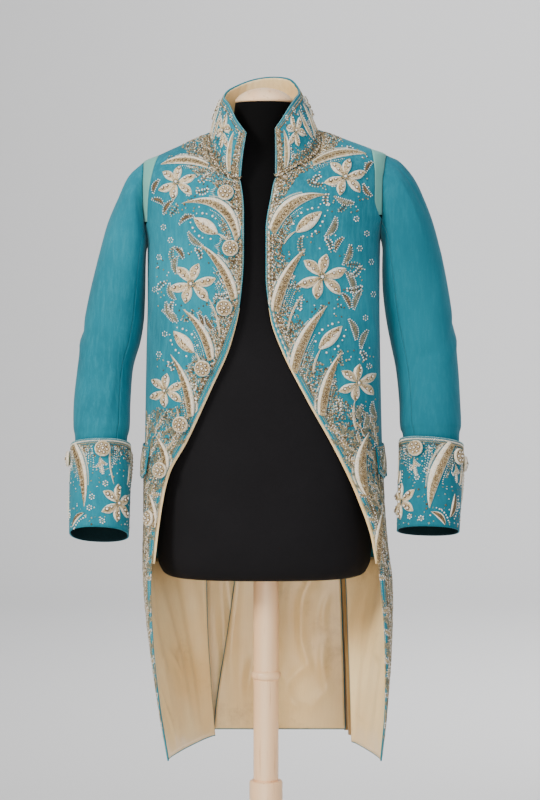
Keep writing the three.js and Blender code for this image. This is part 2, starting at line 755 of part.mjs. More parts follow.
for (const side of [RIGHT, LEFT]) {
  const front = SHOULDER_ROWS.map((z) => {
    const path = torsoRow(side, z).front;
    const end = frontRowEnd(side, z, path);
    return cutPath(path, end - frontStrip(side, z, path), end, 2);
  });
  const back = SHOULDER_ROWS.map((z) => {
    const path = torsoRow(side, z).back;
    const start = backRowStart(side, z, path);
    return cutPath(path, start, start + backStrip(side, z, path), 2);
  });
  addPiece(`strip_front_${side.name}`, wall(leaned(facing(side, front)), STRIP_WALL), STRIP_SILK);
  addPiece(`strip_back_${side.name}`, wall(leaned(facing(side, back)), STRIP_WALL), STRIP_SILK);
}

// ---------------------------------------------------------------- side pleats

// Each side's pleats: how far the folds reach outwards and turn back, at each height.
const PLEATS = {
  right: { folds: 2, direction: [-0.97, 0.24], reach: [{ z: 360, out: 66 }, { z: 600, out: 58 }, { z: 820, out: 18 }] },
  left: { folds: 2, direction: [0.98, 0.2], reach: [{ z: 360, out: 46 }, { z: 600, out: 50 }, { z: 820, out: 16 }] },
};
const PLEAT_ROWS = [360, 450, 540, 630, 715, 800];
const PLEAT_TURN_STEPS = 4;

/** A zigzag in plan: legs out and back, joined by half-round turns. */
function pleatRow(side, z) {
  const { folds, direction, reach } = PLEATS[side.name];
  const margin = PLEAT_WALL / 2 + 1.2;
  const from = new THREE.Vector2(side.sign * (side.rearOut(z) + 1.5), side.rearBack(z) + margin + 0.3);
  const to = new THREE.Vector2(side.sign * (side.backOut(z) + 2.2), side.backBack(z) - 1);
  const out = new THREE.Vector2(...direction).normalize();
  const reachNow = columnOf(reach, 'out')(z);
  const legs = folds * 2;
  const starts = Array.from({ length: legs }, (_, i) => from.clone().lerp(to, i / (legs - 1)));
  const half = from.distanceTo(to) / (legs - 1) / 2;
  const step = to.clone().sub(from).normalize();
  const row = [starts[0]];
  for (let i = 0; i < legs - 1; i += 1) {
    const outwards = i % 2 === 0;
    const base = starts[i].clone().addScaledVector(step, half);
    const centre = outwards ? base.addScaledVector(out, reachNow) : base.addScaledVector(out, half);
    const heading = outwards ? out : out.clone().negate();
    for (let k = 0; k <= PLEAT_TURN_STEPS; k += 1) {
      const angle = (Math.PI * k) / PLEAT_TURN_STEPS;
      row.push(centre.clone()
        .addScaledVector(step, -half * Math.cos(angle))
        .addScaledVector(heading, half * Math.sin(angle)));
    }
  }
  row.push(starts[legs - 1]);
  return row.map((p) => new THREE.Vector3(p.x, p.y, z));
}

for (const side of [RIGHT, LEFT]) {
  const middle = facing(side, PLEAT_ROWS.map((z) => pleatRow(side, z)));
  const outer = offsetGrid(middle, PLEAT_WALL / 2);
  const inner = offsetGrid(middle, -PLEAT_WALL / 2);
  addPiece(`pleats_${side.name}`, wallBetween(outer, inner), WOOL);
}

// ---------------------------------------------------------------- sleeves

// Rings of the sleeves from the cuff up: the inner and outer lines seen from the front, how far
// back the middle lies, and the half depth. tilt is how much a ring's front is lifted, in degrees.
const SLEEVE = {
  right: [
    { innerOut: 236, innerZ: 842, outerOut: 322, outerZ: 842, middle: -31, depth: 48, tilt: 16 },
    { innerOut: 235, innerZ: 886, outerOut: 323, outerZ: 886, middle: -21, depth: 50, tilt: 15 },
    { innerOut: 231, innerZ: 905, outerOut: 326, outerZ: 905, middle: -16, depth: 53, tilt: 14 },
    { innerOut: 230, innerZ: 950, outerOut: 326, outerZ: 948, middle: -5, depth: 54, tilt: 12 },
    { innerOut: 226, innerZ: 1005, outerOut: 321, outerZ: 1001, middle: 7, depth: 57, tilt: 7 },
    { innerOut: 214, innerZ: 1048, outerOut: 312, outerZ: 1068, middle: 13, depth: 60, tilt: 2 },
    { innerOut: 208, innerZ: 1085, outerOut: 301, outerZ: 1130, middle: 14, depth: 63, tilt: 0 },
    { innerOut: 206, innerZ: 1120, outerOut: 286, outerZ: 1194, middle: 12, depth: 65, tilt: 0 },
    { innerOut: 205, innerZ: 1152, outerOut: 269, outerZ: 1256, middle: 9, depth: 66, tilt: 0 },
    { innerOut: 204.5, innerZ: 1180, outerOut: 249, outerZ: 1302, middle: 6, depth: 63, tilt: 0 },
    { innerOut: 203.5, innerZ: 1203, outerOut: 231, outerZ: 1337, middle: 4, depth: 58, tilt: 0 },
  ],
  left: [
    { innerOut: 233, innerZ: 842, outerOut: 326, outerZ: 842, middle: -31, depth: 49, tilt: 13 },
    { innerOut: 232, innerZ: 890, outerOut: 327, outerZ: 890, middle: -21, depth: 51, tilt: 13 },
    { innerOut: 227, innerZ: 908, outerOut: 330.5, outerZ: 908, middle: -16, depth: 54, tilt: 12 },
    { innerOut: 226, innerZ: 950, outerOut: 329.5, outerZ: 950, middle: -5, depth: 56, tilt: 10 },
    { innerOut: 221, innerZ: 1003, outerOut: 327, outerZ: 1003, middle: 7, depth: 58, tilt: 6 },
    { innerOut: 212, innerZ: 1048, outerOut: 321, outerZ: 1066, middle: 13, depth: 61, tilt: 2 },
    { innerOut: 204, innerZ: 1090, outerOut: 311, outerZ: 1130, middle: 14, depth: 63, tilt: 0 },
    { innerOut: 199, innerZ: 1130, outerOut: 297, outerZ: 1194, middle: 12, depth: 65, tilt: 0 },
    { innerOut: 197.5, innerZ: 1160, outerOut: 278, outerZ: 1258, middle: 9, depth: 66, tilt: 0 },
    { innerOut: 197.5, innerZ: 1182, outerOut: 254, outerZ: 1310, middle: 6, depth: 63, tilt: 0 },
    { innerOut: 197.5, innerZ: 1203, outerOut: 228, outerZ: 1343, middle: 4, depth: 58, tilt: 0 },
  ],
};
const SLEEVE_ROUNDNESS = 2.25;   // 2 is an ellipse
const SLEEVE_SEAMS = { front: 130, back: 260 };  // degrees from the outer line, front first
const SLEEVE_HEAD_FOLD = 2.2;    // soft folds of the sleeve heads, in and out
const HEAD_OUTSET = 1.6;         // the sleeve stands off the armhole by its wall

const superellipse = (angle, power) => [
  Math.sign(Math.cos(angle)) * Math.abs(Math.cos(angle)) ** (2 / power),
  Math.sign(Math.sin(angle)) * Math.abs(Math.sin(angle)) ** (2 / power),
];

/** A point of a ring: angle 0 is its outer line, a quarter turn on is its front. */
function ringPoint(sign, ring, angle, swell = 0) {
  const [across, forward] = superellipse(angle, SLEEVE_ROUNDNESS);
  const tilt = THREE.MathUtils.degToRad(ring.tilt);
  const middleOut = (ring.innerOut + ring.outerOut) / 2;
  const middleZ = (ring.innerZ + ring.outerZ) / 2;
  const share = across * (1 + (2 * swell) / (ring.outerOut - ring.innerOut));
  const depth = forward * (ring.depth + swell);
  return new THREE.Vector3(
    sign * (middleOut + (share * (ring.outerOut - ring.innerOut)) / 2),
    ring.middle - depth * Math.cos(tilt),
    middleZ + (share * (ring.outerZ - ring.innerZ)) / 2 + depth * Math.sin(tilt),
  );
}

/** A point of the armhole's edge, set just outside it. */
function armholePoint(side, angle) {
  const z = (ARMPIT + SHOULDER_TIP) / 2 + ((SHOULDER_TIP - ARMPIT) / 2) * Math.cos(angle) * 0.999;
  const row = torsoRow(side, z);
  const front = Math.sin(angle) >= 0;
  const path = front ? row.front : row.back;
  const at = front ? frontRowEnd(side, z, path) : backRowStart(side, z, path);
  const point = cutPath(path, at, at, 1)[0];
  point.x += side.sign * HEAD_OUTSET;
  return point;
}

function sleevePiece(side, fromDegrees, toDegrees, columns) {
  const rings = SLEEVE[side.name];
  const margin = 1.3;
  const angles = Array.from({ length: columns + 1 }, (_, j) => THREE.MathUtils.degToRad(
    fromDegrees + margin + ((toDegrees - fromDegrees - 2 * margin) * j) / columns,
  ));
  const grid = rings.map((ring, i) => angles.map((angle) => {
    const nearHead = i >= rings.length - 3 ? 1 : 0;
    return ringPoint(side.sign, ring, angle, -nearHead * SLEEVE_HEAD_FOLD * Math.sin(5 * angle) ** 2);
  }));
  grid.push(angles.map((angle) => armholePoint(side, angle)));
  const outer = side.sign > 0 ? grid.map((row) => [...row].reverse()) : grid;
  const inner = offsetGrid(outer, -SLEEVE_WALL);
  inner.at(-1).forEach((point, j) => {
    point.x = outer.at(-1)[j].x;
  });
  return wallBetween(leaned(outer), leaned(inner));
}

for (const side of [RIGHT, LEFT]) {
  const { front, back } = SLEEVE_SEAMS;
  addPiece(`sleeve_upper_${side.name}`, sleevePiece(side, back - 360, front, 10), WOOL);
  addPiece(`sleeve_under_${side.name}`, sleevePiece(side, front, back, 5), WOOL);
}

// ---------------------------------------------------------------- cuffs

const CUFF = {
  right: [
    { innerOut: 230, innerZ: 726, outerOut: 330, outerZ: 728, middle: -62, depth: 57, tilt: 19 },
    { innerOut: 229.5, innerZ: 776, outerOut: 330, outerZ: 777, middle: -50, depth: 58, tilt: 18 },
    { innerOut: 229, innerZ: 828, outerOut: 329.5, outerZ: 828, middle: -37, depth: 58, tilt: 17 },
    { innerOut: 229, innerZ: 876, outerOut: 329.5, outerZ: 874, middle: -25, depth: 57.5, tilt: 16 },
  ],
  left: [
    { innerOut: 219.5, innerZ: 734, outerOut: 325, outerZ: 731, middle: -60, depth: 57, tilt: 14 },
    { innerOut: 221.5, innerZ: 780, outerOut: 328, outerZ: 778, middle: -49, depth: 58, tilt: 14 },
    { innerOut: 223.5, innerZ: 830, outerOut: 331, outerZ: 828, middle: -37, depth: 58, tilt: 14 },
    { innerOut: 225.5, innerZ: 884, outerOut: 333.5, outerZ: 874, middle: -25, depth: 58, tilt: 14 },
  ],
};
const CUFF_COLUMNS = 24;
const CUFF_HEIGHT = 150;
const CUFF_RADIUS = 54;          // turns a length round the cuff into an angle

/** A place of a cuff: across from its front line towards +X, and up from its lower edge. */
function cuffPlace(side) {
  const rings = CUFF[side.name];
  const rows = rings.map((ring, i) => ({ ...ring, z: (i * CUFF_HEIGHT) / (rings.length - 1) }));
  const columns = Object.fromEntries(Object.keys(rings[0]).map((key) => [key, columnOf(rows, key)]));
  const at = (across, up) => {
    const ring = Object.fromEntries(Object.entries(columns).map(([key, read]) => [key, read(up)]));
    return ringPoint(side.sign, ring, Math.PI / 2 + (side.sign < 0 ? 1 : -1) * (across / CUFF_RADIUS));
  };
  return (across, up) => {
    const point = at(across, up);
    const sideways = at(across + 2, up).sub(at(across - 2, up));
    const upwards = at(across, up + 2).sub(at(across, up - 2));
    return { point, normal: sideways.cross(upwards).normalize() };
  };
}

const CUFF_FLOWERS = {
  right: [{ x: 37, z: 42, radius: 34, turn: 0.15 }],
  left: [{ x: -60, z: 46, radius: 35, turn: 0.2 }],
};
const CUFF_LEAVES = {
  right: [
    { x0: -46, z0: 126, x1: -23, z1: 42, bow: 7, width: 18, fat: 0.4 },
    { x0: -48, z0: 8, x1: -28, z1: 21, bow: -3, width: 8, steps: 3 },
    { x0: -88, z0: 24, x1: -84, z1: 66, width: 12 },
    { x0: -122, z0: 126, x1: -136, z1: 44, bow: -7, width: 18, fat: 0.4 },
    { x0: 96, z0: 126, x1: 116, z1: 44, bow: 7, width: 18, fat: 0.4 },
  ],
  left: [
    { x0: 24, z0: 126, x1: 1, z1: 40, bow: -8, width: 18, fat: 0.4 },
    { x0: 2, z0: 24, x1: 19, z1: 6, bow: 3, width: 9, steps: 3 },
    { x0: 43, z0: 60, x1: 34, z1: 18, width: 13 },
    { x0: 104, z0: 126, x1: 88, z1: 44, bow: -7, width: 18, fat: 0.4 },
    { x0: -118, z0: 126, x1: -130, z1: 44, bow: -7, width: 18, fat: 0.4 },
  ],
};
const CUFF_BUTTONS = {
  right: [{ x: 6, z: 130 }, { x: -80, z: 124 }, { x: -150, z: 124 }],
  left: [{ x: -27, z: 130 }, { x: 46, z: 122 }, { x: 86, z: 117 }],
};

for (const side of [RIGHT, LEFT]) {
  const grid = CUFF[side.name].map((ring) => Array.from(
    { length: CUFF_COLUMNS },
    (_, j) => ringPoint(side.sign, ring, (j * 2 * Math.PI) / CUFF_COLUMNS),
  ));
  const outer = side.sign > 0 ? grid.map((row) => [...row].reverse()) : grid;
  const place = cuffPlace(side);
  const pads = [
    ...CUFF_FLOWERS[side.name].flatMap((flower) => paddedFlower(place, flower)),
    ...CUFF_LEAVES[side.name].map((leaf) => paddedLeaf(place, leaf)),
  ];
  const rooms = CUFF_BUTTONS[side.name].map(({ x, z }) => buttonRoom(place(x, z)));
  addPiece(`cuff_${side.name}`, raise(toManifold(wall(outer, CUFF_WALL, true)), pads, rooms), WOOL);
  CUFF_BUTTONS[side.name].forEach(({ x, z }, i) => {
    const button = buttonShape().applyMatrix4(standOn(place(x, z), 0.5));
    addPiece(`cuff_button_${side.name}_${i + 1}`, button, GILT_THREAD);
  });
}

// ---------------------------------------------------------------- collar

// The foot and the top edge of the stand collar, from its right front edge round to its left one.
const COLLAR = [
  { footX: -42, footY: -100, footZ: 1323.5, topX: -32, topY: -74, topZ: 1399 },
  { footX: -66, footY: -88, footZ: 1332, topX: -48, topY: -67, topZ: 1421 },
  { footX: -83, footY: -68, footZ: 1351, topX: -62, topY: -46, topZ: 1450 },
  { footX: -93, footY: -46, footZ: 1373, topX: -70, topY: -20, topZ: 1461 },
  { footX: -95, footY: -20, footZ: 1395, topX: -71, topY: 6, topZ: 1468 },
  { footX: -88, footY: 8, footZ: 1414, topX: -66, topY: 28, topZ: 1478 },
  { footX: -70, footY: 38, footZ: 1419, topX: -48, topY: 47, topZ: 1489 },
  { footX: -38, footY: 60, footZ: 1423, topX: -24, topY: 58, topZ: 1498 },
  { footX: 0, footY: 67, footZ: 1424.5, topX: 2, topY: 61, topZ: 1502 },
  { footX: 36, footY: 60, footZ: 1423, topX: 25, topY: 58, topZ: 1501 },
  { footX: 62, footY: 38, footZ: 1419, topX: 43, topY: 44, topZ: 1495 },
  { footX: 79, footY: 8, footZ: 1414, topX: 54, topY: 24, topZ: 1481 },
  { footX: 88, footY: -20, footZ: 1395, topX: 56, topY: 0, topZ: 1469 },
  { footX: 86, footY: -47, footZ: 1370, topX: 50, topY: -28, topZ: 1459 },
  { footX: 68, footY: -72, footZ: 1352, topX: 38, topY: -52, topZ: 1441 },
  { footX: 38, footY: -90, footZ: 1336, topX: 26, topY: -65, topZ: 1421 },
  { footX: 15.5, footY: -99, footZ: 1325, topX: 15, topY: -74, topZ: 1405 },
];
const COLLAR_BELLY = 3;          // the collar bows outwards between foot and top
const COLLAR_WALL = 2.4;
const COLLAR_HEIGHT = 82;

const collarLine = (part) => new THREE.CatmullRomCurve3(
  COLLAR.map((row) => new THREE.Vector3(row[`${part}X`], row[`${part}Y`], row[`${part}Z`])),
  false,
  'centripetal',
);
const collarFoot = collarLine('foot');
const collarTop = collarLine('top');

/** A point of the collar's outer face: share along it, and share up from its foot. */
function collarPoint(along, up) {
  const foot = collarFoot.getPoint(along);
  const top = collarTop.getPoint(along);
  const middle = foot.clone().lerp(top, up);
  const outwards = new THREE.Vector3(middle.x, middle.y, 0).normalize();
  return lean(middle.addScaledVector(outwards, COLLAR_BELLY * 4 * up * (1 - up)));
}

function collarGrid(columns, rows) {
  return Array.from({ length: rows + 1 }, (_, i) => Array.from(
    { length: columns + 1 },
    (_unused, j) => collarPoint(1 - j / columns, i / rows),
  ));
}

/** A place of the collar: across from one front edge towards +X, and up from its foot. */
function collarPlace(side) {
  const length = collarFoot.getLength();
  const start = side === LEFT ? 1 : 0;
  const at = (across, up) => collarPoint(start - across / length, up / COLLAR_HEIGHT);
  return (across, up) => {
    const point = at(across, up);
    const sideways = at(across + 2, up).sub(at(across - 2, up));
    const upwards = at(across, up + 2).sub(at(across, up - 2));
    return { point, normal: sideways.cross(upwards).normalize() };
  };
}

const COLLAR_FLOWERS = {
  right: { x: -46, z: 52, radius: 24, turn: 0.5 },
  left: { x: 50, z: 50, radius: 24, turn: 0.5 },
};

const collarPads = [RIGHT, LEFT].flatMap((side) => paddedFlower(collarPlace(side), COLLAR_FLOWERS[side.name]));
const collarOuter = collarGrid(24, 3);
const collarWall = toManifold(wall(collarOuter, COLLAR_WALL));
addPiece('collar', raise(collarWall, collarPads), WOOL);

/** Draws a grid's borders in by shares of its first and last cells: rows, then columns. */
function trimGrid(grid, { bottom = 0, top = 0, first = 0, last = 0 }) {
  const draw = (line, atStart, atEnd, mix) => line.map((item, i) => {
    if (i === 0) return mix(item, line[1], atStart);
    if (i === line.length - 1) return mix(item, line[i - 1], atEnd);
    return item;
  });
  const mixPoints = (a, b, share) => a.clone().lerp(b, share);
  const narrowed = grid.map((row) => draw(row, first, last, mixPoints));
  return draw(narrowed, bottom, top, mixRows);
}

/** A thin lining that follows the inside of a wall, from a part of the wall's outer grid. */
function liningOf(outer, wallThickness, part, borders) {
  const under = (depth) => trimGrid(part(offsetGrid(outer, -wallThickness - depth)), borders);
  return wallBetween(under(LINING_GAP), under(LINING_GAP + LINING_WALL));
}

const collarLining = liningOf(
  collarOuter,
  COLLAR_WALL,
  (grid) => grid,
  { bottom: 0.35, top: 0.1, first: 0.2, last: 0.2 },
);
addPiece('collar_lining', collarLining, SATIN);

// ---------------------------------------------------------------- satin linings and facings

const LINING_TOP = 680;          // the skirts are lined in sight up to here
const FACING_TOP = 1055;         // the facings of the front edges show up to here

for (const side of [RIGHT, LEFT]) {
  const rowsUpTo = (rows, top) => (grid) => grid.slice(0, rows.indexOf(top) + 1);
  const frontOuter = frontGrid[side.name];
  const fromEdge = side === LEFT ? (row) => row.slice(0, 2) : (row) => row.slice(-2);
  const facingRows = (grid) => grid
    .slice(FRONT_ROWS.indexOf(LINING_TOP), FRONT_ROWS.indexOf(FACING_TOP) + 1)
    .map(fromEdge);
  const skirt = liningOf(
    frontOuter,
    BODY_WALL,
    rowsUpTo(FRONT_ROWS, LINING_TOP),
    { bottom: 0.09, top: 0.02, first: 0.07, last: 0.07 },
  );
  const strip = liningOf(frontOuter, BODY_WALL, facingRows, { bottom: 0.02, first: 0.07, last: 0.07 });
  const back = liningOf(
    backGrid[side.name],
    BODY_WALL,
    rowsUpTo(BACK_ROWS, LINING_TOP),
    { bottom: 0.1, first: 0.15, last: 0.15 },
  );
  addPiece(`lining_front_${side.name}`, skirt, SATIN);
  addPiece(`facing_${side.name}`, strip, SATIN);
  addPiece(`lining_back_${side.name}`, back, SATIN);
}

// ---------------------------------------------------------------- pocket flaps

const FLAP = { top: 876, depth: 56, scallop: 9, before: 78, behind: 66, standOff: 1.2, flare: 3.5, wall: 2.2 };
const FLAP_COLUMNS = 12;
const FLAP_ROWS = 3;

for (const side of [RIGHT, LEFT]) {
  const grid = [];
  for (let i = 0; i <= FLAP_ROWS; i += 1) {
    const row = [];
    for (let j = 0; j <= FLAP_COLUMNS; j += 1) {
      const across = j / FLAP_COLUMNS;
      const drop = FLAP.depth - FLAP.scallop * Math.abs(Math.cos(3 * Math.PI * across)) ** 2;
      const z = FLAP.top - drop * (1 - i / FLAP_ROWS);
      const path = frontRow(side, z, 60);
      const sideAt = lengthWhere(path, (p) => p.y, side.sideBack(z));
      const at = sideAt - FLAP.before + (FLAP.before + FLAP.behind) * across;
      row.push(cutPath(path, at, at, 1)[0]);
    }
    grid.push(row);
  }
  const onPanel = facing(side, grid);
  const normals = gridNormals(onPanel);
  const away = (i) => FLAP.standOff + FLAP.flare * (1 - i / FLAP_ROWS);
  const inner = onPanel.map((row, i) => row.map((p, j) => p.clone().addScaledVector(normals[i][j], away(i))));
  addPiece(`flap_${side.name}`, wallBetween(offsetGrid(inner, FLAP.wall), inner), WOOL);
}

// ---------------------------------------------------------------- dress form

const FORM = [
  { z: 650, half: 148, front: 80, back: 70 },
  { z: 660, half: 173, front: 102, back: 87 },
  { z: 680, half: 181, front: 109, back: 92 },
  { z: 710, half: 183, front: 112, back: 94 },
  { z: 880, half: 184, front: 115, back: 94 },
  { z: 1000, half: 181, front: 117, back: 88 },
  { z: 1110, half: 181, front: 117, back: 94 },
  { z: 1200, half: 181, front: 115, back: 100 },
  { z: 1270, half: 182, front: 105, back: 97 },
  { z: 1312, half: 173, front: 88, back: 88 },
  { z: 1338, half: 146, front: 70, back: 76 },
  { z: 1358, half: 106, front: 55, back: 64 },
  { z: 1376, half: 76, front: 50, back: 56 },
  { z: 1398, half: 57, front: 49, back: 52 },
  { z: 1452, half: 49, front: 47, back: 48 },
];
const FORM_SIDES = 22;
const FORM_ROUNDNESS = 2.5;
const FORM_MIDDLE = -3;          // the form stands a touch to the coat's right

/** A ring of the form, anticlockwise from above. */
function formRing({ z, half, front, back }, roundness = FORM_ROUNDNESS) {
  return Array.from({ length: FORM_SIDES }, (_, j) => {
    const [across, along] = superellipse((j * 2 * Math.PI) / FORM_SIDES, roundness);
    return new THREE.Vector3(FORM_MIDDLE + half * across, along * (along < 0 ? front : back), z);
  });
}

addPiece('form_torso', loft(FORM.map((ring) => formRing(ring, ring.z > 1380 ? 2 : FORM_ROUNDNESS))), JERSEY);

const CAP = [
  { z: NECK_TOP + 0.4, half: 48 },
  { z: NECK_TOP + 3, half: 49.5 },
  { z: NECK_TOP + 9, half: 46 },
  { z: NECK_TOP + 17, half: 36 },
  { z: NECK_TOP + 23, half: 22 },
  { z: CAP_TOP, half: 6 },
];
addPiece('neck_cap', loft(CAP.map(({ z, half }) => formRing({ z, half, front: half - 2, back: half - 1 }, 2))), PALE_WOOD);

// ---------------------------------------------------------------- stand

/** A turned piece from a profile of radius and height pairs that starts and ends on the axis. */
function turned(profile, sides) {
  return new THREE.LatheGeometry(profile.map(([x, y]) => new THREE.Vector2(x, y)), sides).rotateX(Math.PI / 2);
}

const SOCKET_BORE_BOTTOM = 236;
addPiece('pole', turned([
  [0, SOCKET_BORE_BOTTOM + 0.4],
  [POLE_RADIUS - 1, SOCKET_BORE_BOTTOM + 0.4],
  [POLE_RADIUS - 1, SOCKET_TOP + 2],
  [POLE_RADIUS, SOCKET_TOP + 3],
  [POLE_RADIUS, POLE_RING_HEIGHT - 8],
  [POLE_RADIUS + 3, POLE_RING_HEIGHT - 5],
  [POLE_RADIUS + 3.6, POLE_RING_HEIGHT],
  [POLE_RADIUS + 3, POLE_RING_HEIGHT + 5],
  [POLE_RADIUS, POLE_RING_HEIGHT + 8],
  [POLE_RADIUS, FORM_BOTTOM - 0.4],
  [0, FORM_BOTTOM - 0.4],
], 20), PALE_WOOD);

addPiece('socket', turned([
  [0, BASE_THICKNESS + 0.4],
  [SOCKET_RADIUS + 8, BASE_THICKNESS + 0.4],
  [SOCKET_RADIUS + 8, BASE_THICKNESS + 9],
  [SOCKET_RADIUS, BASE_THICKNESS + 20],
  [SOCKET_RADIUS, SOCKET_TOP - 3],
  [SOCKET_RADIUS - 2, SOCKET_TOP],
  [POLE_RADIUS - 0.4, SOCKET_TOP],
  [POLE_RADIUS - 0.4, SOCKET_BORE_BOTTOM],
  [0, SOCKET_BORE_BOTTOM],
], 20), PALE_WOOD);

addPiece('base', turned([
  [0, 0],
  [BASE_RADIUS - 2, 0],
  [BASE_RADIUS, 2],
  [BASE_RADIUS, BASE_THICKNESS - 8],
  [BASE_RADIUS - 8, BASE_THICKNESS],
  [0, BASE_THICKNESS],
], 40), PALE_WOOD);

export default coat;
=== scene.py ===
"""An embroidered court coat on a limbless dress form with a turned wooden stand."""
import json
import math

import bpy
import numpy as np
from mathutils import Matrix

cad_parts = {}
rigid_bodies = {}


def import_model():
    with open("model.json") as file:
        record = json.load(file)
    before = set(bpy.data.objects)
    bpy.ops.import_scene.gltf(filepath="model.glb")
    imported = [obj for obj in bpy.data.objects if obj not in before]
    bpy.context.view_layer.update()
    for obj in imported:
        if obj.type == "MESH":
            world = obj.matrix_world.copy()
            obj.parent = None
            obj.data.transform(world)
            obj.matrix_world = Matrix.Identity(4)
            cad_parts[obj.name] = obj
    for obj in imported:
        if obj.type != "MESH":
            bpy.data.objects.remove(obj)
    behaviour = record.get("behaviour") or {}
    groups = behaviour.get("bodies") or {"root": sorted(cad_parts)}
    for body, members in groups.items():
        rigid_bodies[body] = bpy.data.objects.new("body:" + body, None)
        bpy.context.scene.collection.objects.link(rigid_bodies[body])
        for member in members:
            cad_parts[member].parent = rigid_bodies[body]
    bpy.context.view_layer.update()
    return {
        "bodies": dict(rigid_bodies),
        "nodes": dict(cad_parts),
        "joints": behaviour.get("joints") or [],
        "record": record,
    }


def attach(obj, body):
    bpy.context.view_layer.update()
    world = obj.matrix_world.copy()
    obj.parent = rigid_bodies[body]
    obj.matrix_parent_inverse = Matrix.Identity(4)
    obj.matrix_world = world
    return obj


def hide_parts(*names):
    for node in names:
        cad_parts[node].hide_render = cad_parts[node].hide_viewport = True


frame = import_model()

# ---------------------------------------------------------------- camera, light and floor
# A long lens far in front of the coat, a little above its waist and tipped down.
# The floor and the wall behind it are one pale sweep of painted board.

for item in bpy.context.view_layer.objects:
    item.select_set(False)

lens = bpy.data.cameras.new("studio_lens")
lens.sensor_fit = "VERTICAL"
lens.sensor_height = 36.0
lens.lens = 105.98
lens.clip_end = 60.0
camera = bpy.data.objects.new("studio_camera", lens)
camera.location = (0.0068, -4.0, 1.137)
camera.rotation_euler = (math.radians(90 - 2.6766), 0, 0)
bpy.context.scene.collection.objects.link(camera)
bpy.context.scene.camera = camera


def linear(text):
    """An sRGB hex colour as a linear RGBA value."""
    parts = [int(text[i:i + 2], 16) / 255 for i in (1, 3, 5)]
    return tuple(p / 12.92 if p <= 0.04045 else ((p + 0.055) / 1.055) ** 2.4 for p in parts) + (1.0,)


def join(material, node, sockets):
    """Sets a node's sockets, or links other nodes' outputs to them."""
    for key, value in sockets.items():
        if isinstance(value, bpy.types.NodeSocket):
            material.node_tree.links.new(value, node.inputs[key])
        else:
            node.inputs[key].default_value = value


def put(material, kind, sockets=None, **settings):
    """Adds a node to a material, with its settings and sockets."""
    made = material.node_tree.nodes.new(kind)
    for key, value in settings.items():
        setattr(made, key, value)
    join(material, made, sockets or {})
    return made


def new_material(name):
    """A material with its shader joined to its output, and the object's own coordinates."""
    material = bpy.data.materials.new(name)
    material.use_nodes = True
    material.node_tree.nodes.clear()
    shader = put(material, "ShaderNodeBsdfPrincipled")
    put(material, "ShaderNodeOutputMaterial", {"Surface": shader.outputs[0]})
    return material, shader, put(material, "ShaderNodeTexCoord").outputs["Object"]


def stretched(material, where, scale):
    return put(material, "ShaderNodeMapping", {"Vector": where, "Scale": scale}).outputs[0]


def noise(material, where, scale, detail=2.0, roughness=0.5):
    return put(material, "ShaderNodeTexNoise", {
        "Vector": where, "Scale": scale, "Detail": detail, "Roughness": roughness}).outputs[0]


def ranged(material, value, low, high, top=1.0, bottom=0.0):
    """A value between two limits, mapped to between two others."""
    return put(material, "ShaderNodeMapRange", {
        "Value": value, "From Min": low, "From Max": high, "To Min": bottom, "To Max": top}).outputs[0]


def tinted(material, share, under, over):
    """A share of one colour over another, each a hex value or a socket."""
    under, over = (linear(tone) if isinstance(tone, str) else tone for tone in (under, over))
    return put(material, "ShaderNodeMixRGB", {"Fac": share, "Color1": under, "Color2": over}).outputs[0]


def combined(material, operation, first, second):
    return put(material, "ShaderNodeMath", {0: first, 1: second}, operation=operation).outputs[0]


def bumped(material, height, strength, distance, **more):
    return put(material, "ShaderNodeBump", {
        "Height": height, "Strength": strength, "Distance": distance, **more}).outputs[0]


def declare(piece, node):
    """Sets a piece on the one body, and hides the CAD node that it stands for."""
    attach(piece, "root")
    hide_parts(node)


LIGHTS = (
    # name, place, aims at, size, watts, colour
    ("key", (-2.8, -2.7, 2.9), (0.0, 0.0, 0.95), 1.2, 168, "#fffaf2"),
    ("fill", (1.8, -3.4, 1.7), (0.0, 0.0, 0.8), 2.4, 34, "#f4f8ff"),
    ("top", (0.2, -0.4, 3.4), (0.0, 0.2, 0.9), 2.2, 32, "#ffffff"),
    ("low", (-0.3, -2.6, 0.35), (0.0, 0.0, 0.6), 1.1, 27, "#ffe9d2"),
    ("wall", (1.75, 1.6, 3.6), (1.75, 4.6, 1.5), 2.6, 360, "#ffffff"),
)
for name, place, aim, size, watts, colour in LIGHTS:
    lamp = bpy.data.lights.new(name, "AREA")
    lamp.size = size
    lamp.energy = watts
    lamp.color = linear(colour)[:3]
    holder = bpy.data.objects.new(name, lamp)
    holder.location = place
    toward = np.subtract(aim, place)
    flat = math.hypot(toward[0], toward[1])
    holder.rotation_euler = (math.atan2(flat, -toward[2]), 0, math.atan2(toward[1], toward[0]) - math.pi / 2)
    bpy.context.scene.collection.objects.link(holder)

world = bpy.data.worlds.new("studio_air")
world.use_nodes = True
world.node_tree.nodes["Background"].inputs[0].default_value = linear("#dfe1e4")
world.node_tree.nodes["Background"].inputs[1].default_value = 0.46
bpy.context.scene.world = world

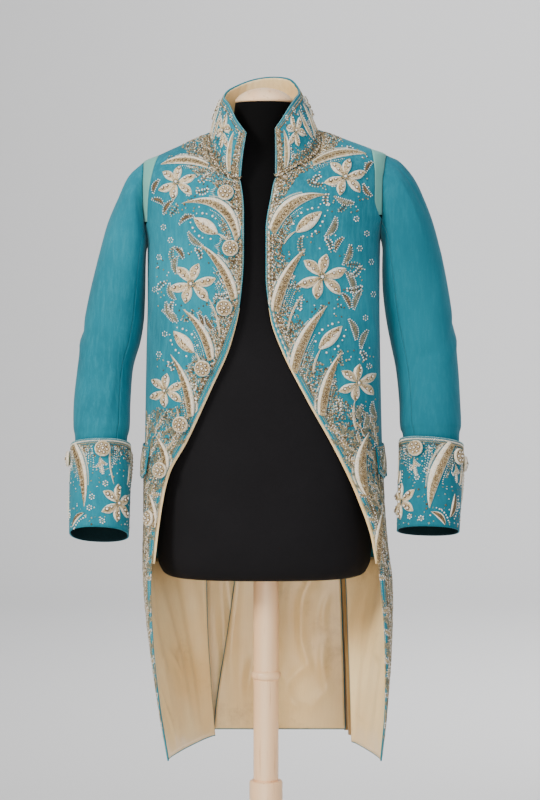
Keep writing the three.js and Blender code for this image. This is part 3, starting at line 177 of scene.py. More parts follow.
bpy.ops.mesh.primitive_plane_add(size=1, location=(0, 0, 0))
floor = bpy.context.object
floor.name = "studio_floor"
floor.scale = (9, 9, 1)
bpy.ops.object.transform_apply(location=True, scale=True)
bpy.ops.object.mode_set(mode="EDIT")
bpy.ops.mesh.select_all(action="DESELECT")
bpy.ops.object.mode_set(mode="OBJECT")
for edge in floor.data.edges:
    edge.select = all(floor.data.vertices[i].co.y > 4 for i in edge.vertices)
bpy.ops.object.mode_set(mode="EDIT")
bpy.ops.mesh.select_mode(type="EDGE")
SWEEP_RADIUS = 1.6
for step in range(10):
    turn = (step + 0.5) * math.pi / 20
    reach = SWEEP_RADIUS * math.pi / 20
    bpy.ops.mesh.extrude_region_move(
        TRANSFORM_OT_translate={"value": (0, reach * math.cos(turn), reach * math.sin(turn))})
bpy.ops.mesh.extrude_region_move(TRANSFORM_OT_translate={"value": (0, 0, 5)})
bpy.ops.object.mode_set(mode="OBJECT")
bpy.ops.object.shade_smooth()
board, board_shader, _ = new_material("painted_board")
board_mottle = put(board, "ShaderNodeTexNoise", {"Scale": 1.4, "Detail": 3.0}).outputs[0]
join(board, board_shader, {"Base Color": tinted(board, board_mottle, "#c3c3c4", "#cacacb"), "Roughness": 0.9})
floor.data.materials.append(board)

# ---------------------------------------------------------------- stand
# A round base, a socket and a pole, each turned from pale beech and varnished.
# The pole has one raised ring, and slides down into the socket's bore.

POLE_RADIUS, POLE_RING = 0.0215, 0.480
SOCKET_RADIUS, SOCKET_TOP, SOCKET_BORE = 0.0285, 0.298, 0.236
BASE_RADIUS, BASE_TOP = 0.190, 0.025
FORM_BOTTOM = 0.650
SMALL_GAP = 0.0004
RING_CURVE = (
    # out from the pole, above or below the ring's middle
    (0, 0.0085), (-0.0006, 0.0078), (0.0005, 0.0068), (0.0022, 0.0056), (0.0034, 0.003), (0.0038, 0))


def turn_on_lathe(name, profile, steps=72):
    """A body turned from a profile of radius and height pairs that starts and ends on the axis."""
    bpy.ops.mesh.primitive_circle_add(vertices=3, radius=0.01)
    piece = bpy.context.object
    piece.name = name
    piece.data.clear_geometry()
    points = [(radius, 0.0, height) for radius, height in profile]
    piece.data.from_pydata(points, [(i, i + 1) for i in range(len(points) - 1)], [])
    bpy.ops.object.mode_set(mode="EDIT")
    bpy.ops.mesh.select_all(action="SELECT")
    bpy.ops.mesh.spin(steps=steps, angle=2 * math.pi, center=(0, 0, 0), axis=(0, 0, 1))
    bpy.ops.mesh.select_all(action="SELECT")
    bpy.ops.mesh.remove_doubles(threshold=1e-5)
    bpy.ops.mesh.normals_make_consistent(inside=False)
    bpy.ops.object.mode_set(mode="OBJECT")
    bpy.ops.object.shade_smooth_by_angle(angle=math.radians(32))
    return piece


def beech(name, along):
    """Varnished beech: pale pink-brown, with short dark flecks along the grain."""
    wood, shader, where = new_material(name)
    where = stretched(wood, where, along)
    grain = noise(wood, where, 60.0, 6.0, 0.6)
    bands = put(wood, "ShaderNodeTexWave", {
        "Vector": where, "Scale": 8.0, "Distortion": 5.0, "Detail": 3.0}, bands_direction="X").outputs[1]
    tone = tinted(wood, grain, "#ffe0bd", "#ffd6a4")
    tone = tinted(wood, combined(wood, "MULTIPLY", bands, 0.28), tone, "#f8bd88")
    tone = tinted(wood, ranged(wood, noise(wood, where, 240.0), 0.62, 0.74, 0.45), tone, "#c68755")
    join(wood, shader, {
        "Base Color": tone, "Roughness": ranged(wood, grain, 0.0, 1.0, 0.46, 0.3),
        "Normal": bumped(wood, grain, 0.18, 0.0006), "Coat Weight": 0.25, "Coat Roughness": 0.3})
    return wood


upright_beech = beech("varnished_beech_upright", (1.0, 1.0, 0.05))
board_beech = beech("varnished_beech_board", (1.0, 0.06, 1.0))
for name, profile, wood in (
    ("pole", (
        (0, SOCKET_BORE + SMALL_GAP), (POLE_RADIUS - 0.001, SOCKET_BORE + SMALL_GAP),
        (POLE_RADIUS - 0.001, SOCKET_TOP + 0.002), (POLE_RADIUS, SOCKET_TOP + 0.003),
        *((POLE_RADIUS + out, POLE_RING - away) for out, away in RING_CURVE),
        *((POLE_RADIUS + out, POLE_RING + away) for out, away in RING_CURVE[-2::-1]),
        (POLE_RADIUS, FORM_BOTTOM - SMALL_GAP), (0, FORM_BOTTOM - SMALL_GAP),
    ), upright_beech),
    ("socket", (
        (0, BASE_TOP + SMALL_GAP), (SOCKET_RADIUS + 0.0085, BASE_TOP + SMALL_GAP),
        (SOCKET_RADIUS + 0.0092, BASE_TOP + 0.003), (SOCKET_RADIUS + 0.0085, BASE_TOP + 0.008),
        (SOCKET_RADIUS + 0.005, BASE_TOP + 0.0115), (SOCKET_RADIUS + 0.0012, BASE_TOP + 0.016),
        (SOCKET_RADIUS, BASE_TOP + 0.022), (SOCKET_RADIUS, SOCKET_TOP - 0.004),
        (SOCKET_RADIUS - 0.0006, SOCKET_TOP - 0.0015), (SOCKET_RADIUS - 0.0022, SOCKET_TOP),
        (POLE_RADIUS - 0.0002, SOCKET_TOP), (POLE_RADIUS - 0.0004, SOCKET_TOP - 0.001),
        (POLE_RADIUS - 0.0004, SOCKET_BORE), (0, SOCKET_BORE),
    ), upright_beech),
    ("base", (
        (0, 0), (BASE_RADIUS - 0.003, 0), (BASE_RADIUS - 0.0008, 0.0008), (BASE_RADIUS, 0.003),
        (BASE_RADIUS, BASE_TOP - 0.009), (BASE_RADIUS - 0.0012, BASE_TOP - 0.0055),
        (BASE_RADIUS - 0.0042, BASE_TOP - 0.002), (BASE_RADIUS - 0.009, BASE_TOP), (0, BASE_TOP),
    ), board_beech),
):
    piece = turn_on_lathe(f"{name}_turned", profile)
    piece.data.materials.append(wood)
    declare(piece, name)

# ---------------------------------------------------------------- dress form
# A limbless torso of moulded board under tightly stretched black jersey, with a neck
# closed by a domed cap of varnished beech.

FORM = (
    # height, half width, front, back, in millimetres
    (650, 148, 80, 70), (651.2, 156, 87, 75), (654.5, 166, 96, 82), (660, 173, 102, 87), (680, 181, 109, 92),
    (710, 183, 112, 94), (880, 184, 115, 94), (1000, 181, 117, 88), (1110, 181, 117, 94), (1200, 181, 115, 100),
    (1270, 182, 105, 97), (1312, 173, 88, 88), (1338, 146, 70, 76), (1358, 106, 55, 64), (1376, 76, 50, 56),
    (1398, 57, 49, 52), (1452, 49, 47, 48),
)
FORM_MIDDLE = -3.0
FORM_ROUNDNESS = 2.5


def column_of(rows, column):
    """Reads a column of a table smoothly at any height, with no overshoot between its rows."""
    heights = np.array([row[0] for row in rows], float)
    values = np.array([row[column] for row in rows], float)
    grade = np.diff(values) / np.diff(heights)
    slopes = np.concatenate(([grade[0]], np.zeros(len(values) - 2), [grade[-1]]))
    for i in range(1, len(values) - 1):
        if grade[i - 1] * grade[i] > 0:
            slopes[i] = 2 * grade[i - 1] * grade[i] / (grade[i - 1] + grade[i])

    def read(height):
        height = np.clip(np.asarray(height, float), heights[0], heights[-1])
        i = np.clip(np.searchsorted(heights, height) - 1, 0, len(heights) - 2)
        span = heights[i + 1] - heights[i]
        t = (height - heights[i]) / span
        return ((2 * t**3 - 3 * t**2 + 1) * values[i] + (t**3 - 2 * t**2 + t) * span * slopes[i]
                + (3 * t**2 - 2 * t**3) * values[i + 1] + (t**3 - t**2) * span * slopes[i + 1])
    return read


def superellipse(angle, power):
    cos, sin = np.cos(angle), np.sin(angle)
    return np.sign(cos) * np.abs(cos) ** (2 / power), np.sign(sin) * np.abs(sin) ** (2 / power)


def mesh_piece(name, points, faces, material, uv=None):
    """A mesh object from points in millimetres."""
    mesh = bpy.data.meshes.new(name)
    mesh.from_pydata((np.asarray(points) * 0.001).tolist(), [], faces)
    mesh.update()
    mesh.shade_smooth()
    if uv is not None:
        layer = mesh.uv_layers.new(name="threads")
        corners = np.zeros(len(mesh.loops), np.int32)
        mesh.loops.foreach_get("vertex_index", corners)
        layer.data.foreach_set("uv", np.asarray(uv, np.float32)[corners].ravel())
    piece = bpy.data.objects.new(name, mesh)
    bpy.context.scene.collection.objects.link(piece)
    piece.data.materials.append(material)
    return piece


def loft_faces(rings, count, first=0):
    """Quads over rings of points that turn anticlockwise from above, with both ends closed."""
    faces = []
    for i in range(rings - 1):
        for j in range(count):
            a = first + i * count + j
            b = first + i * count + (j + 1) % count
            faces.append((a, b, b + count, a + count))
    faces.append(tuple(first + j for j in reversed(range(count))))
    faces.append(tuple(first + (rings - 1) * count + j for j in range(count)))
    return faces


def form_rings(table, heights, sides, roundness):
    read = [column_of(table, column) for column in (1, 2, 3)]
    angle = np.arange(sides) * 2 * np.pi / sides
    rings = []
    for z in heights:
        across, along = superellipse(angle, roundness(z))
        depth = np.where(along < 0, read[1](z), read[2](z))
        rings.append(np.stack((FORM_MIDDLE + read[0](z) * across, along * depth, np.full(sides, z)), axis=1))
    return np.concatenate(rings)


# Cotton jersey: a fine knit that shows as a soft, slightly uneven bloom. Its upper chest is painted darker, as
# painted shade under the coat.
jersey, jersey_shader, where = new_material("stretched_black_jersey")
tone = tinted(jersey, noise(jersey, where, 9.0, 4.0), "#121214", "#1a1a1d")
# painted shade: from 1.02 m up to 1.3 m the jersey is painted darker, to near black, where the coat and collar
# shade the upper chest
height = put(jersey, "ShaderNodeSeparateXYZ", {0: where}).outputs[2]
ribs = noise(jersey, stretched(jersey, where, (1.0, 1.0, 0.35)), 900.0)
join(jersey, jersey_shader, {
    "Base Color": tinted(jersey, ranged(jersey, height, 1.02, 1.3), tone, "#030304"), "Roughness": 0.82,
    "Normal": bumped(jersey, ribs, 0.3, 0.0006), "Sheen Weight": 0.01, "Sheen Roughness": 0.5,
    "Specular IOR Level": 0.1})

FORM_SIDES = 96
form_heights = np.concatenate((
    (650, 650.5, 651.2, 652.5, 654.5, 657, 660, 666, 673, 680, 695, 710), np.arange(740, 1200, 30),
    np.arange(1200, 1440, 8), (1440, 1448, 1451, 1452)))
form_points = form_rings(
    FORM, form_heights, FORM_SIDES,
    lambda z: np.interp(z, (1358, 1392), (FORM_ROUNDNESS, 2.0)))
torso = mesh_piece("form_torso_jersey", form_points, loft_faces(len(form_heights), FORM_SIDES), jersey)
declare(torso, "form_torso")

CAP = (
    # height, half width, front, back
    (1452.4, 48, 46, 47), (1455, 49.5, 47.5, 48.5), (1461, 46, 44, 45), (1469, 36, 34, 35),
    (1475, 22, 20, 21), (1478, 6, 4, 5),
)
cap_heights = np.concatenate(((1452.4, 1453.2, 1454.2, 1455.4), np.arange(1457, 1477.6, 1.6), (1478,)))
cap = mesh_piece("neck_cap_turned", form_rings(CAP, cap_heights, 64, lambda z: 2.0),
                 loft_faces(len(cap_heights), 64), board_beech)
declare(cap, "neck_cap")

# ---------------------------------------------------------------- fronts
# Two fronts of fulled teal wool, stiffened and lined, cut away from the waist. Each
# runs from its free edge round the side to the back seam, and is open at the armhole.

EDGES = {
    # height, distance out from the middle, distance forward: the free edge, then the neckline
    "right": (
        (355, 163, 120), (450, 178, 117), (540, 187, 112), (640, 192, 104), (720, 186, 100), (790, 176, 98),
        (832, 165, 102), (884, 136, 110), (972, 94, 122), (1046, 60.5, 128), (1122, 41.5, 129), (1197, 36, 128),
        (1263, 36, 120), (1320, 42, 100), (1329, 68, 86), (1347, 83, 68), (1366, 93, 48), (1387, 96, 24),
        (1409, 90, -2)),
    "left": (
        (355, 192, 120), (450, 199, 116), (540, 198, 110), (640, 191.5, 104), (722, 181, 100), (792, 157, 100),
        (864, 123, 108), (956, 71, 120), (1038, 28, 128), (1093, 8, 129), (1160, -0.4, 129), (1235, -0.4, 125),
        (1291, 8, 112), (1321, 15, 98), (1332, 36, 91), (1348, 66, 73), (1364, 85, 50), (1387, 90, 24),
        (1409, 80, -2)),
}
SIDE_LINE = (
    # height, right, left, back: the widest line, which runs in along the shoulder seam
    (355, 164, 193, -112), (450, 180, 203, -92), (540, 194, 210, -68), (640, 204, 211, -36),
    (720, 207.5, 205, -8),
    (800, 207.5, 200, 0), (880, 206, 197.5, 5), (1043, 203, 194, 5), (1120, 201, 193, 5), (1219, 201, 194, 5),
    (1260, 210, 204, 5), (1290, 214.5, 208, 5), (1320, 215, 209, 6), (1359, 207.5, 204, 7), (1371, 180, 177, 7),
    (1409, 90, 80, 7),
)
SKIRTS = {
    # height, rear edge of the front: out and back; start of the back skirt: out and back
    "right": (
        (355, 90, 104, 113, 132), (450, 96, 101, 112, 130), (540, 101, 99, 111, 128), (640, 103, 97, 110, 125),
        (820, 105, 101, 107, 115), (880, 106, 104, 106, 108)),
    "left": (
        (355, 149, 46, 141, 128), (450, 145, 52, 139, 126), (540, 141, 60, 136, 124), (640, 137, 77, 132, 122),
        (700, 134, 93, 127, 120), (760, 124, 101, 119, 118), (820, 113, 103, 111, 115),
        (880, 106, 104, 106, 108)),
}
BACK_SEAMS = (
    # height, middle line of the back, seam between front and back above the pleats
    (355, 142, 106), (500, 139, 106), (650, 135, 106), (760, 129, 106), (850, 120, 106), (900, 112, 106),
    (1000, 104, 119), (1080, 108, 146), (1150, 114, 178), (1195, 117, 196), (1219, 117, 201), (1260, 115, 201),
    (1300, 110, 201), (1350, 98, 201), (1390, 83, 201), (1409, 73, 201), (1420, 68, 201),
)
STRIP_EDGES = (
    # height, inner edge of the pale strips: right before and behind the shoulder seam, left likewise
    (1256, 199.5, 194, 190, 189), (1282, 198.5, 190, 182, 186), (1303, 197, 188, 182.5, 184.5),
    (1326, 193.5, 187, 182.5, 183.5), (1348, 188.5, 185, 180.5, 181), (1371, 180.5, 180.5, 177.5, 177.5),
)
HEM, HIP, ARMPIT, SHOULDER_TIP, NECK_POINT = 355, 880, 1219, 1359, 1409
ARMHOLE_FRONT, ARMHOLE_BACK = {"right": 41, "left": 48}, 54
STRIP_FOOT, STRIP_GAP = 1256, 0.8
SEAM_GAP, SHOULDER_GAP = 0.6, 0.8
FULLNESS, HEM_FULLNESS, SKIRT_TOP = 0.62, 0.15, 690
BODY_WALL = 2.2
SIDES = {"right": -1, "left": 1}
edge_out = {name: column_of(EDGES[name], 1) for name in SIDES}
edge_forward = {name: column_of(EDGES[name], 2) for name in SIDES}
side_out = {name: column_of(SIDE_LINE, 1 + i) for i, name in enumerate(SIDES)}
side_back = column_of(SIDE_LINE, 3)
skirt = {name: [column_of(SKIRTS[name], column) for column in (1, 2, 3, 4)] for name in SIDES}
back_middle, seam_out = column_of(BACK_SEAMS, 1), column_of(BACK_SEAMS, 2)
strip_edge = {"right": [column_of(STRIP_EDGES, 1), column_of(STRIP_EDGES, 2)],
              "left": [column_of(STRIP_EDGES, 3), column_of(STRIP_EDGES, 4)]}


def smooth_share(value, low, high):
    t = np.clip((np.asarray(value, float) - low) / (high - low), 0, 1)
    return t * t * (3 - 2 * t)


def lean(points):
    """The coat sits a little higher on its left shoulder."""
    points = np.array(points, float)
    points[..., 2] += 0.03 * smooth_share(points[..., 2], 1050, 1250) * points[..., 0]
    return points


def quarter_turn(start, end, fullness, steps=36):
    """A quarter turn in plan that leaves start along X and reaches end along Y."""
    start, end = np.asarray(start, float), np.asarray(end, float)
    corner = np.array((end[0], start[1]))
    near, far = start + (corner - start) * fullness, end + (corner - end) * fullness
    t = np.linspace(0, 1, steps + 1)[:, None]
    return (1 - t)**3 * start + 3 * (1 - t)**2 * t * near + 3 * (1 - t) * t**2 * far + t**3 * end


def path_lengths(path):
    return np.concatenate(([0], np.cumsum(np.linalg.norm(np.diff(path, axis=0), axis=1))))


def cut_path(path, start, end, count):
    """The part of a path between two lengths along it, as evenly spaced points."""
    lengths = path_lengths(path)
    at = np.linspace(start, end, count + 1)
    return np.stack([np.interp(at, lengths, path[:, k]) for k in range(path.shape[1])], axis=1)


def length_where(path, measure, value):
    """The length along a path at which a measure of its points first passes a value."""
    lengths, over = path_lengths(path), measure - value
    if over[0] > 0:
        return 0.0
    for i in range(1, len(path)):
        if over[i - 1] <= 0 < over[i]:
            return lengths[i - 1] + (lengths[i] - lengths[i - 1]) * over[i - 1] / (over[i - 1] - over[i])
    return lengths[-1]


def armhole_reach(z, half_depth):
    middle, half = (ARMPIT + SHOULDER_TIP) / 2, (SHOULDER_TIP - ARMPIT) / 2
    return half_depth * math.sqrt(max(0, 1 - ((z - middle) / half)**2))


def torso_row(name, z):
    """The front and back halves of a row of the chest or waist in plan."""
    sign = SIDES[name]
    widest = (sign * side_out[name](z), side_back(z))
    front = quarter_turn((sign * edge_out[name](z), -edge_forward[name](z)), widest, FULLNESS)
    back = quarter_turn((0, back_middle(z)), widest, FULLNESS)[::-1]
    return front, back


def front_end(name, z, path):
    whole = path_lengths(path)[-1]
    if z >= SHOULDER_TIP:
        return whole - SHOULDER_GAP
    return length_where(path, path[:, 1], side_back(z) - armhole_reach(z, ARMHOLE_FRONT[name]))


def back_start(z, path):
    if z >= SHOULDER_TIP:
        return SHOULDER_GAP
    return length_where(path, path[:, 1], side_back(z) + armhole_reach(z, ARMHOLE_BACK))


def front_strip(name, z, path):
    """The width of the pale strip along the front half of a row."""
    start = length_where(path, np.abs(path[:, 0]), strip_edge[name][0](z))
    return 0.0 if z < STRIP_FOOT else max(0.0, front_end(name, z, path) - start)


def back_strip(name, z, path):
    end = length_where(path, -np.abs(path[:, 0]), -strip_edge[name][1](z))
    return 0.0 if z < STRIP_FOOT else max(0.0, end - back_start(z, path))


def front_row(name, z, count):
    """A row of a front from its free edge to the side seam, armhole or shoulder seam."""
    front, back = torso_row(name, z)
    if z >= ARMPIT:
        strip = front_strip(name, z, front)
        end = front_end(name, z, front) - (strip + STRIP_GAP if strip > 0 else 0)
        return cut_path(front, 0, end, count)
    seam = length_where(back, -np.abs(back[:, 0]), -seam_out(z)) - SEAM_GAP
    whole = np.concatenate((front, back[1:]))
    above = cut_path(whole, 0, path_lengths(front)[-1] + seam, count)
    if z >= HIP:
        return above
    rear = (SIDES[name] * skirt[name][0](z), skirt[name][1](z))
    fullness = np.interp(min(z, SKIRT_TOP), (HEM, SKIRT_TOP), (HEM_FULLNESS, FULLNESS))
    hanging = np.concatenate((front, quarter_turn(rear, front[-1], fullness)[::-1][1:]))
    below = cut_path(hanging, 0, path_lengths(hanging)[-1] - SEAM_GAP, count)
    share = 1 - smooth_share(z, HIP - 80, HIP)
    return above * (1 - share) + below * share


def rows_to_grid(rows, heights):
    return lean(np.stack([np.column_stack((row, np.full(len(row), z))) for row, z in zip(rows, heights)]))


def grid_normals(grid, sign, closed=False):
    """The outward way at each point of a grid of rows that run upwards."""
    if closed:
        across = np.roll(grid, -1, axis=1) - np.roll(grid, 1, axis=1)
    else:
        across = np.gradient(grid, axis=1)
    normal = sign * np.cross(across, np.gradient(grid, axis=0))
    return normal / np.maximum(np.linalg.norm(normal, axis=2, keepdims=True), 1e-9)


def crease(grid_u, grid_v, folds):
    """Soft ridges and troughs: each from one place to another, with a width and a height."""
    rise = np.zeros(np.broadcast(grid_u, grid_v).shape)
    for u0, v0, u1, v1, width, height in folds:
        du, dv = u1 - u0, v1 - v0
        length = math.hypot(du, dv)
        t = ((grid_u - u0) * du + (grid_v - v0) * dv) / length**2
        aside = ((grid_u - u0) * -dv + (grid_v - v0) * du) / length
        bend = width * 0.8 * np.sin(np.pi * np.clip(t, 0, 1))
        along = np.clip(np.sin(np.pi * np.clip((t + 0.12) / 1.24, 0, 1)), 0, 1)
        rise = rise + height * along**0.8 * np.exp(-((aside - bend) / width)**2)
    return rise


def shell_piece(name, outer, thickness, sign, material, closed=False, normals=None, inner=None):
    """A thin wall of cloth under a grid of its outer points, with a softly rounded rim."""
    rows, columns = outer.shape[:2]
    if normals is None:
        normals = grid_normals(outer, sign, closed)
    if inner is None:
        inner = outer - normals * thickness
    points = np.concatenate((outer.reshape(-1, 3), inner.reshape(-1, 3)))
    under = rows * columns
    faces = []

    def quad(a, b, c, d):
        faces.append((a, b, c, d) if sign > 0 else (d, c, b, a))

    spans = columns if closed else columns - 1
    for i in range(rows - 1):
        for j in range(spans):
            a, b = i * columns + j, i * columns + (j + 1) % columns
            quad(a, b, b + columns, a + columns)
            quad(under + a, under + a + columns, under + b + columns, under + b)
    top = (rows - 1) * columns
    for j in range(spans):
        a, b = j, (j + 1) % columns
        quad(a, under + a, under + b, b)
        quad(top + a, top + b, under + top + b, under + top + a)
    if not closed:
        for i in range(rows - 1):
            a, b = i * columns, i * columns + columns - 1
            quad(a, a + columns, under + a + columns, under + a)
            quad(b, under + b, under + b + columns, b + columns)
    return mesh_piece(name, points, faces, material)


def shade_inner_faces(piece, grid, material, closed=False):
    """Gives the inner faces of a shell a second, darker material, as painted shade where its inside falls dark.
    """
    slots = np.zeros(len(piece.data.polygons), np.int32)
    slots[1:2 * (grid.shape[0] - 1) * (grid.shape[1] - (0 if closed else 1)):2] = 1
    piece.data.materials.append(material)
    piece.data.polygons.foreach_set("material_index", slots)


def woollen(name, lit, body, deep, nap):
    """Fulled wool broadcloth: a matt felted face with a short nap that lies downwards, painted darker at both
    sides as painted shade.
    """
    wool, shader, where = new_material(name)
    streak = noise(wool, stretched(wool, where, (1.0, 1.0, 0.14)), 170.0, 5.0, 0.7)
    felt = noise(wool, where, 620.0, 4.0, 0.75)
    tone = tinted(wool, ranged(wool, noise(wool, where, 5.0, 6.0, 0.6), 0.35, 0.68), deep, body)
    tone = tinted(wool, ranged(wool, streak, 0.46, 0.78, nap), tone, lit)
    tone = tinted(wool, ranged(wool, felt, 0.4, 0.7, 0.24), tone, deep)
    # painted shade: beyond 188 mm out to each side, over the sleeves and flanks, the wool is painted darker
    # towards its deep tone, more on the +X side away from the key lamp than on the -X side
    side = put(wool, "ShaderNodeSeparateXYZ", {0: where}).outputs[0]
    for near, far, share in ((0.188, 0.215, 0.62), (-0.188, -0.215, 0.24)):
        tone = tinted(wool, ranged(wool, side, near, far, share), tone, deep)
    join(wool, shader, {
        "Base Color": tone, "Roughness": 0.92,
        "Normal": bumped(wool, combined(wool, "ADD", streak, felt), 0.35, 0.0012),
        "Sheen Weight": 0.17, "Sheen Roughness": 0.45, "Sheen Tint": linear("#bfeaf2"),
        "Specular IOR Level": 0.2})
    return wool


teal_wool = woollen("fulled_teal_wool", "#4db2c2", "#1d8a9f", "#12677a", 0.34)


def panel(part, name, row, columns, heights, folds):
    """The wool of a front or back: rows of points, creased along its folds, under a thin wall."""
    sign = SIDES[name]
    rows = [row(name, z, columns) for z in heights]
    grid = rows_to_grid(rows, heights)
    run = np.stack([path_lengths(row) for row in rows])
    quiet = smooth_share(run, 2, 14) * smooth_share(run[:, -1:] - run, 2, 14)
    grid = grid + grid_normals(grid, sign) * (crease(run, heights[:, None], folds) * quiet)[..., None]
    normals = grid_normals(grid, sign)
    piece = shell_piece(f"{part}_{name}_wool", grid, BODY_WALL, sign, teal_wool, normals=normals)
    declare(piece, f"{part}_{name}")
    return piece, {"grid": grid, "normals": normals, "run": run, "heights": heights, "sign": sign}


FRONT_COLUMNS = 76
ARMPIT_HEIGHTS = (1214, 1217, 1218.9, 1219.1, 1219.6, 1221, 1223, 1226, 1230, 1235)
SHOULDER_HEIGHTS = (1359, 1361, 1364, 1366.5, 1368.5, 1370, 1370.7, 1371.2)
FRONT_FOLDS = {
    # distance from the free edge, height, to distance, height; width; rise
    "right": (
        (150, 1130, 190, 1040, 9, 1.6), (170, 1010, 120, 930, 10, 1.3), (60, 700, 50, 480, 16, 3.0),
        (130, 760, 120, 420, 20, -4.0), (190, 720, 200, 390, 17, 3.6), (225, 640, 230, 420, 10, -2.6),
        (90, 600, 96, 400, 10, -1.8), (178, 1200, 150, 1120, 8, 1.2)),
    "left": (
        (160, 1140, 205, 1050, 9, 1.6), (180, 1000, 130, 940, 9, 1.2), (45, 690, 60, 470, 15, 2.8),
        (105, 750, 100, 440, 18, -3.6), (150, 700, 160, 380, 14, 3.4), (185, 620, 180, 420, 9, -2.4),
        (75, 560, 70, 390, 9, -1.6), (190, 1200, 165, 1130, 8, 1.1)),
}
front_heights = np.concatenate((
    (HEM, HEM + 2), np.arange(HEM + 8, 1212, 7.6), ARMPIT_HEIGHTS, np.arange(1241, 1340, 5),
    (1342, 1346, 1350, 1353, 1356, 1358), SHOULDER_HEIGHTS, (1374, 1378, 1384, 1390, 1397, 1403)))
front_cloth = {}
for name in SIDES:
    piece, front_cloth[name] = panel("front", name, front_row, FRONT_COLUMNS, front_heights, FRONT_FOLDS[name])

# ---------------------------------------------------------------- backs
# Two narrow backs of the same wool, joined down the middle to the waist. Below it each
# hangs free beside the slit, the left one lapping under the right one.

NECKLINE = (
    # height, right, left, back: the back neckline from the shoulder seams to the middle
    (1409, 90, 80, 7), (1413, 78, 70, 32), (1417, 54, 50, 56), (1420, 22, 22, 66),
)
SLIT = (
    # height, how far the right and the left back skirts lap past the middle, step between them
    (355, 26, 93, 13), (395, 25, 90, 13), (540, 24, 68, 11), (640, 22, 54, 10), (780, 18, 35, 8),
    (880, 12, 12, 7),
    (900, -0.3, -0.3, 7), (915, -0.3, -0.3, 0), (1420, -0.3, -0.3, 0),
)
BACK_HEM = 362
neck_out = {name: column_of(NECKLINE, 1 + i) for i, name in enumerate(SIDES)}
neck_back = column_of(NECKLINE, 3)
lap_out = {name: column_of(SLIT, 1 + i) for i, name in enumerate(SIDES)}
lap_step = column_of(SLIT, 3)


def back_row(name, z, count):
    """A row of a back from its side seam, armhole or shoulder seam to the middle of the back."""
    sign = SIDES[name]
    middle = (-sign * lap_out[name](z), back_middle(z) - (lap_step(z) if name == "left" else 0))
    if z > NECK_POINT:
        path = quarter_turn(middle, (sign * neck_out[name](z), neck_back(z)), FULLNESS)[::-1]
        return cut_path(path, 0, path_lengths(path)[-1], count)
    path = quarter_turn(middle, (sign * side_out[name](z), side_back(z)), FULLNESS)[::-1]
    whole = path_lengths(path)[-1]
    if z >= ARMPIT:
        strip = back_strip(name, z, path)
        start = back_start(z, path) + (strip + STRIP_GAP if strip > 0 else 0)
        return cut_path(path, start, whole, count)
    start = length_where(path, -np.abs(path[:, 0]), -seam_out(z)) + SEAM_GAP
    above = cut_path(path, start, whole, count)
    if z >= HIP:
        return above
    hanging = quarter_turn(middle, (sign * skirt[name][2](z), skirt[name][3](z)), FULLNESS)[::-1]
    below = cut_path(hanging, SEAM_GAP, path_lengths(hanging)[-1], count)
    share = 1 - smooth_share(z, HIP - 80, HIP)
    return above * (1 - share) + below * share


BACK_COLUMNS = 48
BACK_FOLDS = {
    "right": (
        (60, 860, 70, 560, 13, 2.6), (95, 700, 92, 400, 12, -2.8), (30, 640, 26, 400, 10, 2.2),
        (40, 1010, 80, 960, 8, 1.8), (30, 975, 90, 930, 7, -1.4), (60, 1240, 120, 1180, 9, 1.3)),
    "left": (
        (55, 850, 48, 600, 12, -2.4), (110, 720, 120, 400, 15, 2.6), (150, 560, 160, 380, 12, -2.2),
        (35, 1000, 85, 955, 8, 1.7), (40, 960, 95, 925, 7, -1.3), (70, 1230, 120, 1170, 9, 1.2)),
}
back_heights = np.concatenate((
    (BACK_HEM, BACK_HEM + 2), np.arange(BACK_HEM + 7, 1212, 6.5), ARMPIT_HEIGHTS, np.arange(1241, 1340, 6),
    (1342, 1347, 1351, 1355, 1358), SHOULDER_HEIGHTS,
    (1374, 1380, 1390, 1400, 1409, 1411, 1413, 1415, 1417, 1418.5, 1420)))
back_cloth = {}
for name in SIDES:
    piece, back_cloth[name] = panel("back", name, back_row, BACK_COLUMNS, back_heights, BACK_FOLDS[name])

# ---------------------------------------------------------------- pale strips at the shoulders
# A wedge of pale green silk is let in beside each sleeve head, half in front of the
# shoulder seam and half behind it.

# Plain woven silk, dull with age: fine cross threads and a light bloom.
strip_silk, strip_shader, where = new_material("dull_pale_green_silk")
ribs = noise(strip_silk, stretched(strip_silk, where, (0.2, 0.2, 1.0)), 700.0, 3.0)
join(strip_silk, strip_shader, {
    "Base Color": tinted(strip_silk, noise(strip_silk, where, 26.0, 5.0), "#58a39b", "#79bdb0"),
    "Roughness": 0.6, "Normal": bumped(strip_silk, ribs, 0.3, 0.0006), "Sheen Weight": 0.15})

STRIP_WALL, STRIP_COLUMNS = 1.6, 10
strip_heights = np.concatenate(((1257, 1259), np.arange(1262, 1356, 4), (1357,), SHOULDER_HEIGHTS[:-2]))
for name, sign in SIDES.items():
    for part in ("front", "back"):
        rows = []
        for z in strip_heights:
            path = torso_row(name, z)[0 if part == "front" else 1]
            if part == "front":
                start, width = front_end(name, z, path), front_strip(name, z, path)
                rows.append(cut_path(path, start - width, start, STRIP_COLUMNS))
            else:
                start, width = back_start(z, path), back_strip(name, z, path)
                rows.append(cut_path(path, start, start + width, STRIP_COLUMNS))
        piece = shell_piece(
            f"strip_{part}_{name}_silk", rows_to_grid(rows, strip_heights), STRIP_WALL, sign, strip_silk)
        declare(piece, f"strip_{part}_{name}")

# ---------------------------------------------------------------- side pleats
# Deep folds of the wool at each hip, closed at the top and opening towards the hem. They
# join the rear edge of the front to the back skirt.

PLEATS = {
    # way the folds turn out, and how far they reach at three heights
    "right": ((-0.97, 0.24), ((360, 66), (600, 58), (820, 18))),
    "left": ((0.98, 0.2), ((360, 46), (600, 50), (820, 16))),
}
PLEAT_FOLDS, PLEAT_WALL, PLEAT_TURN = 2, 1.6, 8


